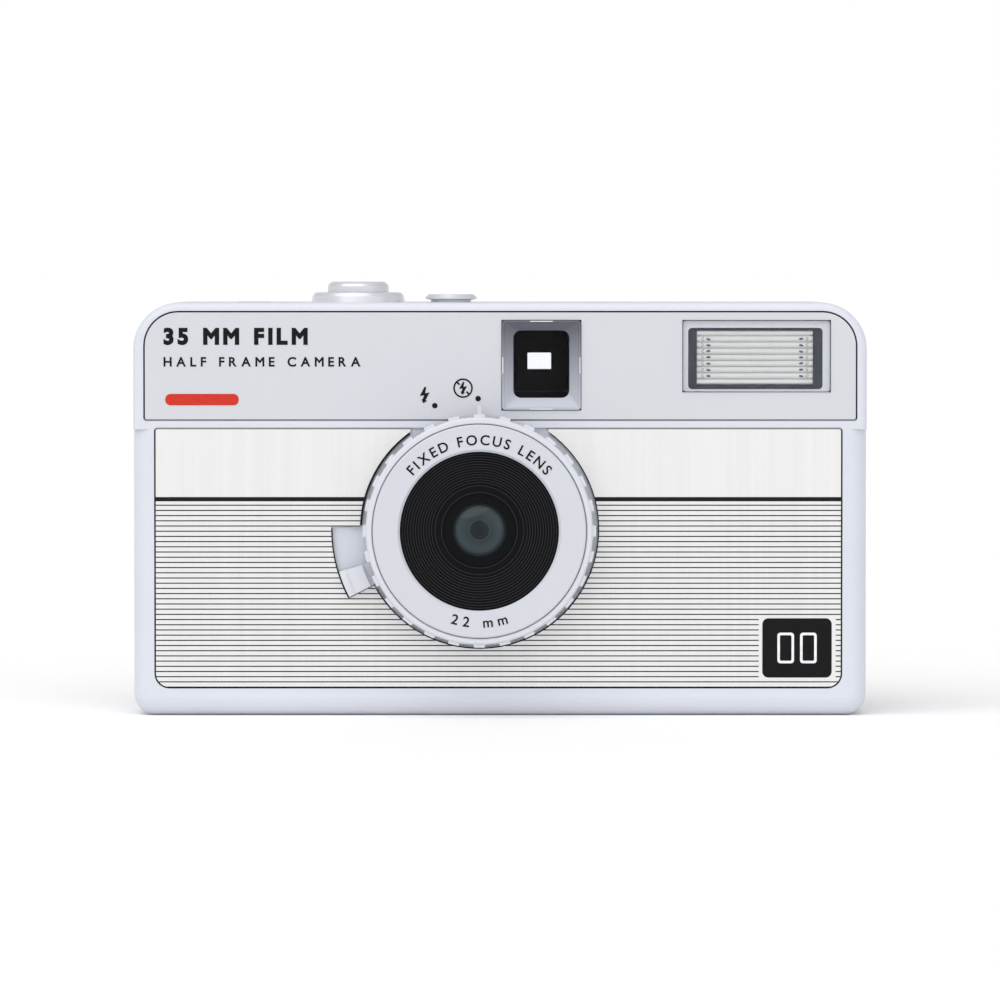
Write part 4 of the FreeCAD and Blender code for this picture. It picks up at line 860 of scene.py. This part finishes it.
def makeSwitchMarks():
    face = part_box("upper_front_panel")[0][1] - marks["sink"]
    thick = marks["thick"]
    bm = bmesh.new()
    for x, z in switchMarks["dots"]:
        flatShape(bm, circlePoints(x * mm, z * mm, switchMarks["dotWide"] * mm), face, thick)
    x, z = switchMarks["bolt"]
    flatShape(bm, boltOutline(x * mm, z * mm, switchMarks["boltTall"] * mm), face, thick)
    x, z = (value * mm for value in switchMarks["offBolt"])
    flatShape(bm, boltOutline(x, z, switchMarks["offTall"] * mm), face, thick)
    outer = switchMarks["ringOut"] * mm
    flatRing(bm, x, z, outer, switchMarks["ringIn"] * mm, face, thick)
    slash = 0.09 * mm
    reach, stop = outer * 0.66, outer * 0.36
    for side in (-1, 1):
        flatShape(bm, [(x + side * reach - slash, z - side * reach - slash),
                       (x + side * reach + slash, z - side * reach + slash),
                       (x + side * stop + slash, z - side * stop + slash),
                       (x + side * stop - slash, z - side * stop - slash)], face - 0.2 * thick, thick)
    fromBmesh("switch_marks", bm, blackInk, "camera")


badge = {"left": 39.35 * mm, "right": 49.75 * mm, "low": 5.75 * mm, "high": 14.65 * mm, "corner": 0.9 * mm,
         "thick": 0.12 * mm, "framesWide": 2.5 * mm, "framesTall": 4.6 * mm, "line": 0.38 * mm}


def makeBadge():
    # plain black badge with two upright frames side by side
    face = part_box("lower_front_plate")[0][1] + 0.02 * mm
    bm = bmesh.new()
    edge = 0.05 * mm
    left, low, right, high = badge["left"], badge["low"], badge["right"], badge["high"]
    loft(bm, [roundedLoop(left, low, right, high, badge["corner"], face),
              roundedLoop(left, low, right, high, badge["corner"], face - badge["thick"] + edge),
              roundedLoop(left + edge, low + edge, right - edge, high - edge, badge["corner"] - edge,
                          face - badge["thick"])], capStart=True, capEnd=True)
    fromBmesh("front_badge", bm, blackInk, "camera")

    bm = bmesh.new()
    top = face - badge["thick"] + marks["sink"]
    middleX, middleZ = (left + right) / 2, (low + high) / 2
    wide, tall, line = badge["framesWide"], badge["framesTall"], badge["line"]
    for side in (-1, 1):
        x = middleX + side * (wide / 2 + 0.45 * mm)
        loops = []
        for inset, depth in ((0, top), (0, top - marks["thick"]), (line, top - marks["thick"]), (line, top)):
            loops.append(roundedLoop(x - wide / 2 + inset, middleZ - tall / 2 + inset, x + wide / 2 - inset,
                                     middleZ + tall / 2 - inset, 0.45 * mm - inset * 0.6, depth))
        loft(bm, loops, closed=True)
    fromBmesh("badge_frames", bm, whiteInkAndHighlight, "camera")


makePanelMarks()
makeLensMarks()
makeSwitchMarks()
makeBadge()
print("marks printed")


# floor, lights, camera
studio = {"distance": 1.0, "elevation": 2.0, "aimZ": 32.4 * mm, "across": 149.9 * mm,
          "sunPower": 1.85, "sunWide": 75.0, "sunLift": 52.0, "sunTurn": -24.0,
          "fillPower": 0.35, "horizon": 1.0, "sky": 0.5, "zenith": 0.62}


def addSun(name, lift, turn, power, wide):
    # a broad, soft light; turn is measured from straight ahead of the front
    data = bpy.data.lights.new(name, "SUN")
    data.energy = power
    data.angle = math.radians(wide)
    obj = bpy.data.objects.new(name, data)
    up, side = math.radians(lift), math.radians(turn)
    source = Vector((math.cos(up) * math.sin(side), -math.cos(up) * math.cos(side), math.sin(up)))
    obj.rotation_euler = source.to_track_quat("Z", "Y").to_euler()
    obj.location = source
    bpy.context.collection.objects.link(obj)


def makeStudio():
    floorMesh = bpy.data.meshes.new("floor")
    bm = bmesh.new()
    half = 40.0
    corners = [bm.verts.new((x * half, y * half, 0)) for x, y in ((-1, -1), (1, -1), (1, 1), (-1, 1))]
    bm.faces.new(corners)
    bm.to_mesh(floorMesh)
    bm.free()
    floor = bpy.data.objects.new("floor", floorMesh)
    bpy.context.collection.objects.link(floor)
    finish = Finish("floorPaper", {"IOR": 1.3})
    fibre = finish.noise(300, 4)
    floorMesh.materials.append(finish.feed(
        Base_Color=finish.between(fibre, (0.93, 0.93, 0.935), (0.96, 0.96, 0.96)),
        Roughness=0.8 + 0.1 * fibre, Normal=finish.bump(fibre, 0.1, 0.0001)))

    addSun("keyLight", studio["sunLift"], studio["sunTurn"], studio["sunPower"], studio["sunWide"])
    addSun("fillLight", 12, 35, studio["fillPower"], 60)
    world = bpy.data.worlds.new("studioAir")
    world.use_nodes = True
    air = world.node_tree
    spots = air.nodes.new("ShaderNodeTexCoord")
    split = air.nodes.new("ShaderNodeSeparateXYZ")
    ramp = air.nodes.new("ShaderNodeValToRGB")
    stops = ((0.0, studio["horizon"]), (0.12, studio["horizon"]),
             (0.42, studio["sky"]), (1.0, studio["zenith"]))
    rampStops(ramp.color_ramp, stops)
    air.links.new(spots.outputs["Generated"], split.inputs[0])
    air.links.new(split.outputs["Z"], ramp.inputs["Fac"])
    air.links.new(ramp.outputs["Color"], air.nodes["Background"].inputs["Color"])
    scene = bpy.context.scene
    scene.world = world
    scene.view_settings.view_transform = "Standard"

    data = bpy.data.cameras.new("camera")
    camera = bpy.data.objects.new("camera", data)
    lift = math.radians(studio["elevation"])
    front = cadBox[0][1] + 8 * mm
    aim = Vector((0, front, studio["aimZ"]))
    camera.location = aim + studio["distance"] * Vector((0, -math.cos(lift), math.sin(lift)))
    camera.rotation_euler = Euler((math.pi / 2 - lift, 0, 0))
    data.sensor_width = 36
    data.lens = 36 * studio["distance"] / studio["across"]
    data.clip_start = 0.01
    bpy.context.collection.objects.link(camera)
    scene.camera = camera


makeStudio()
print("studio ready")
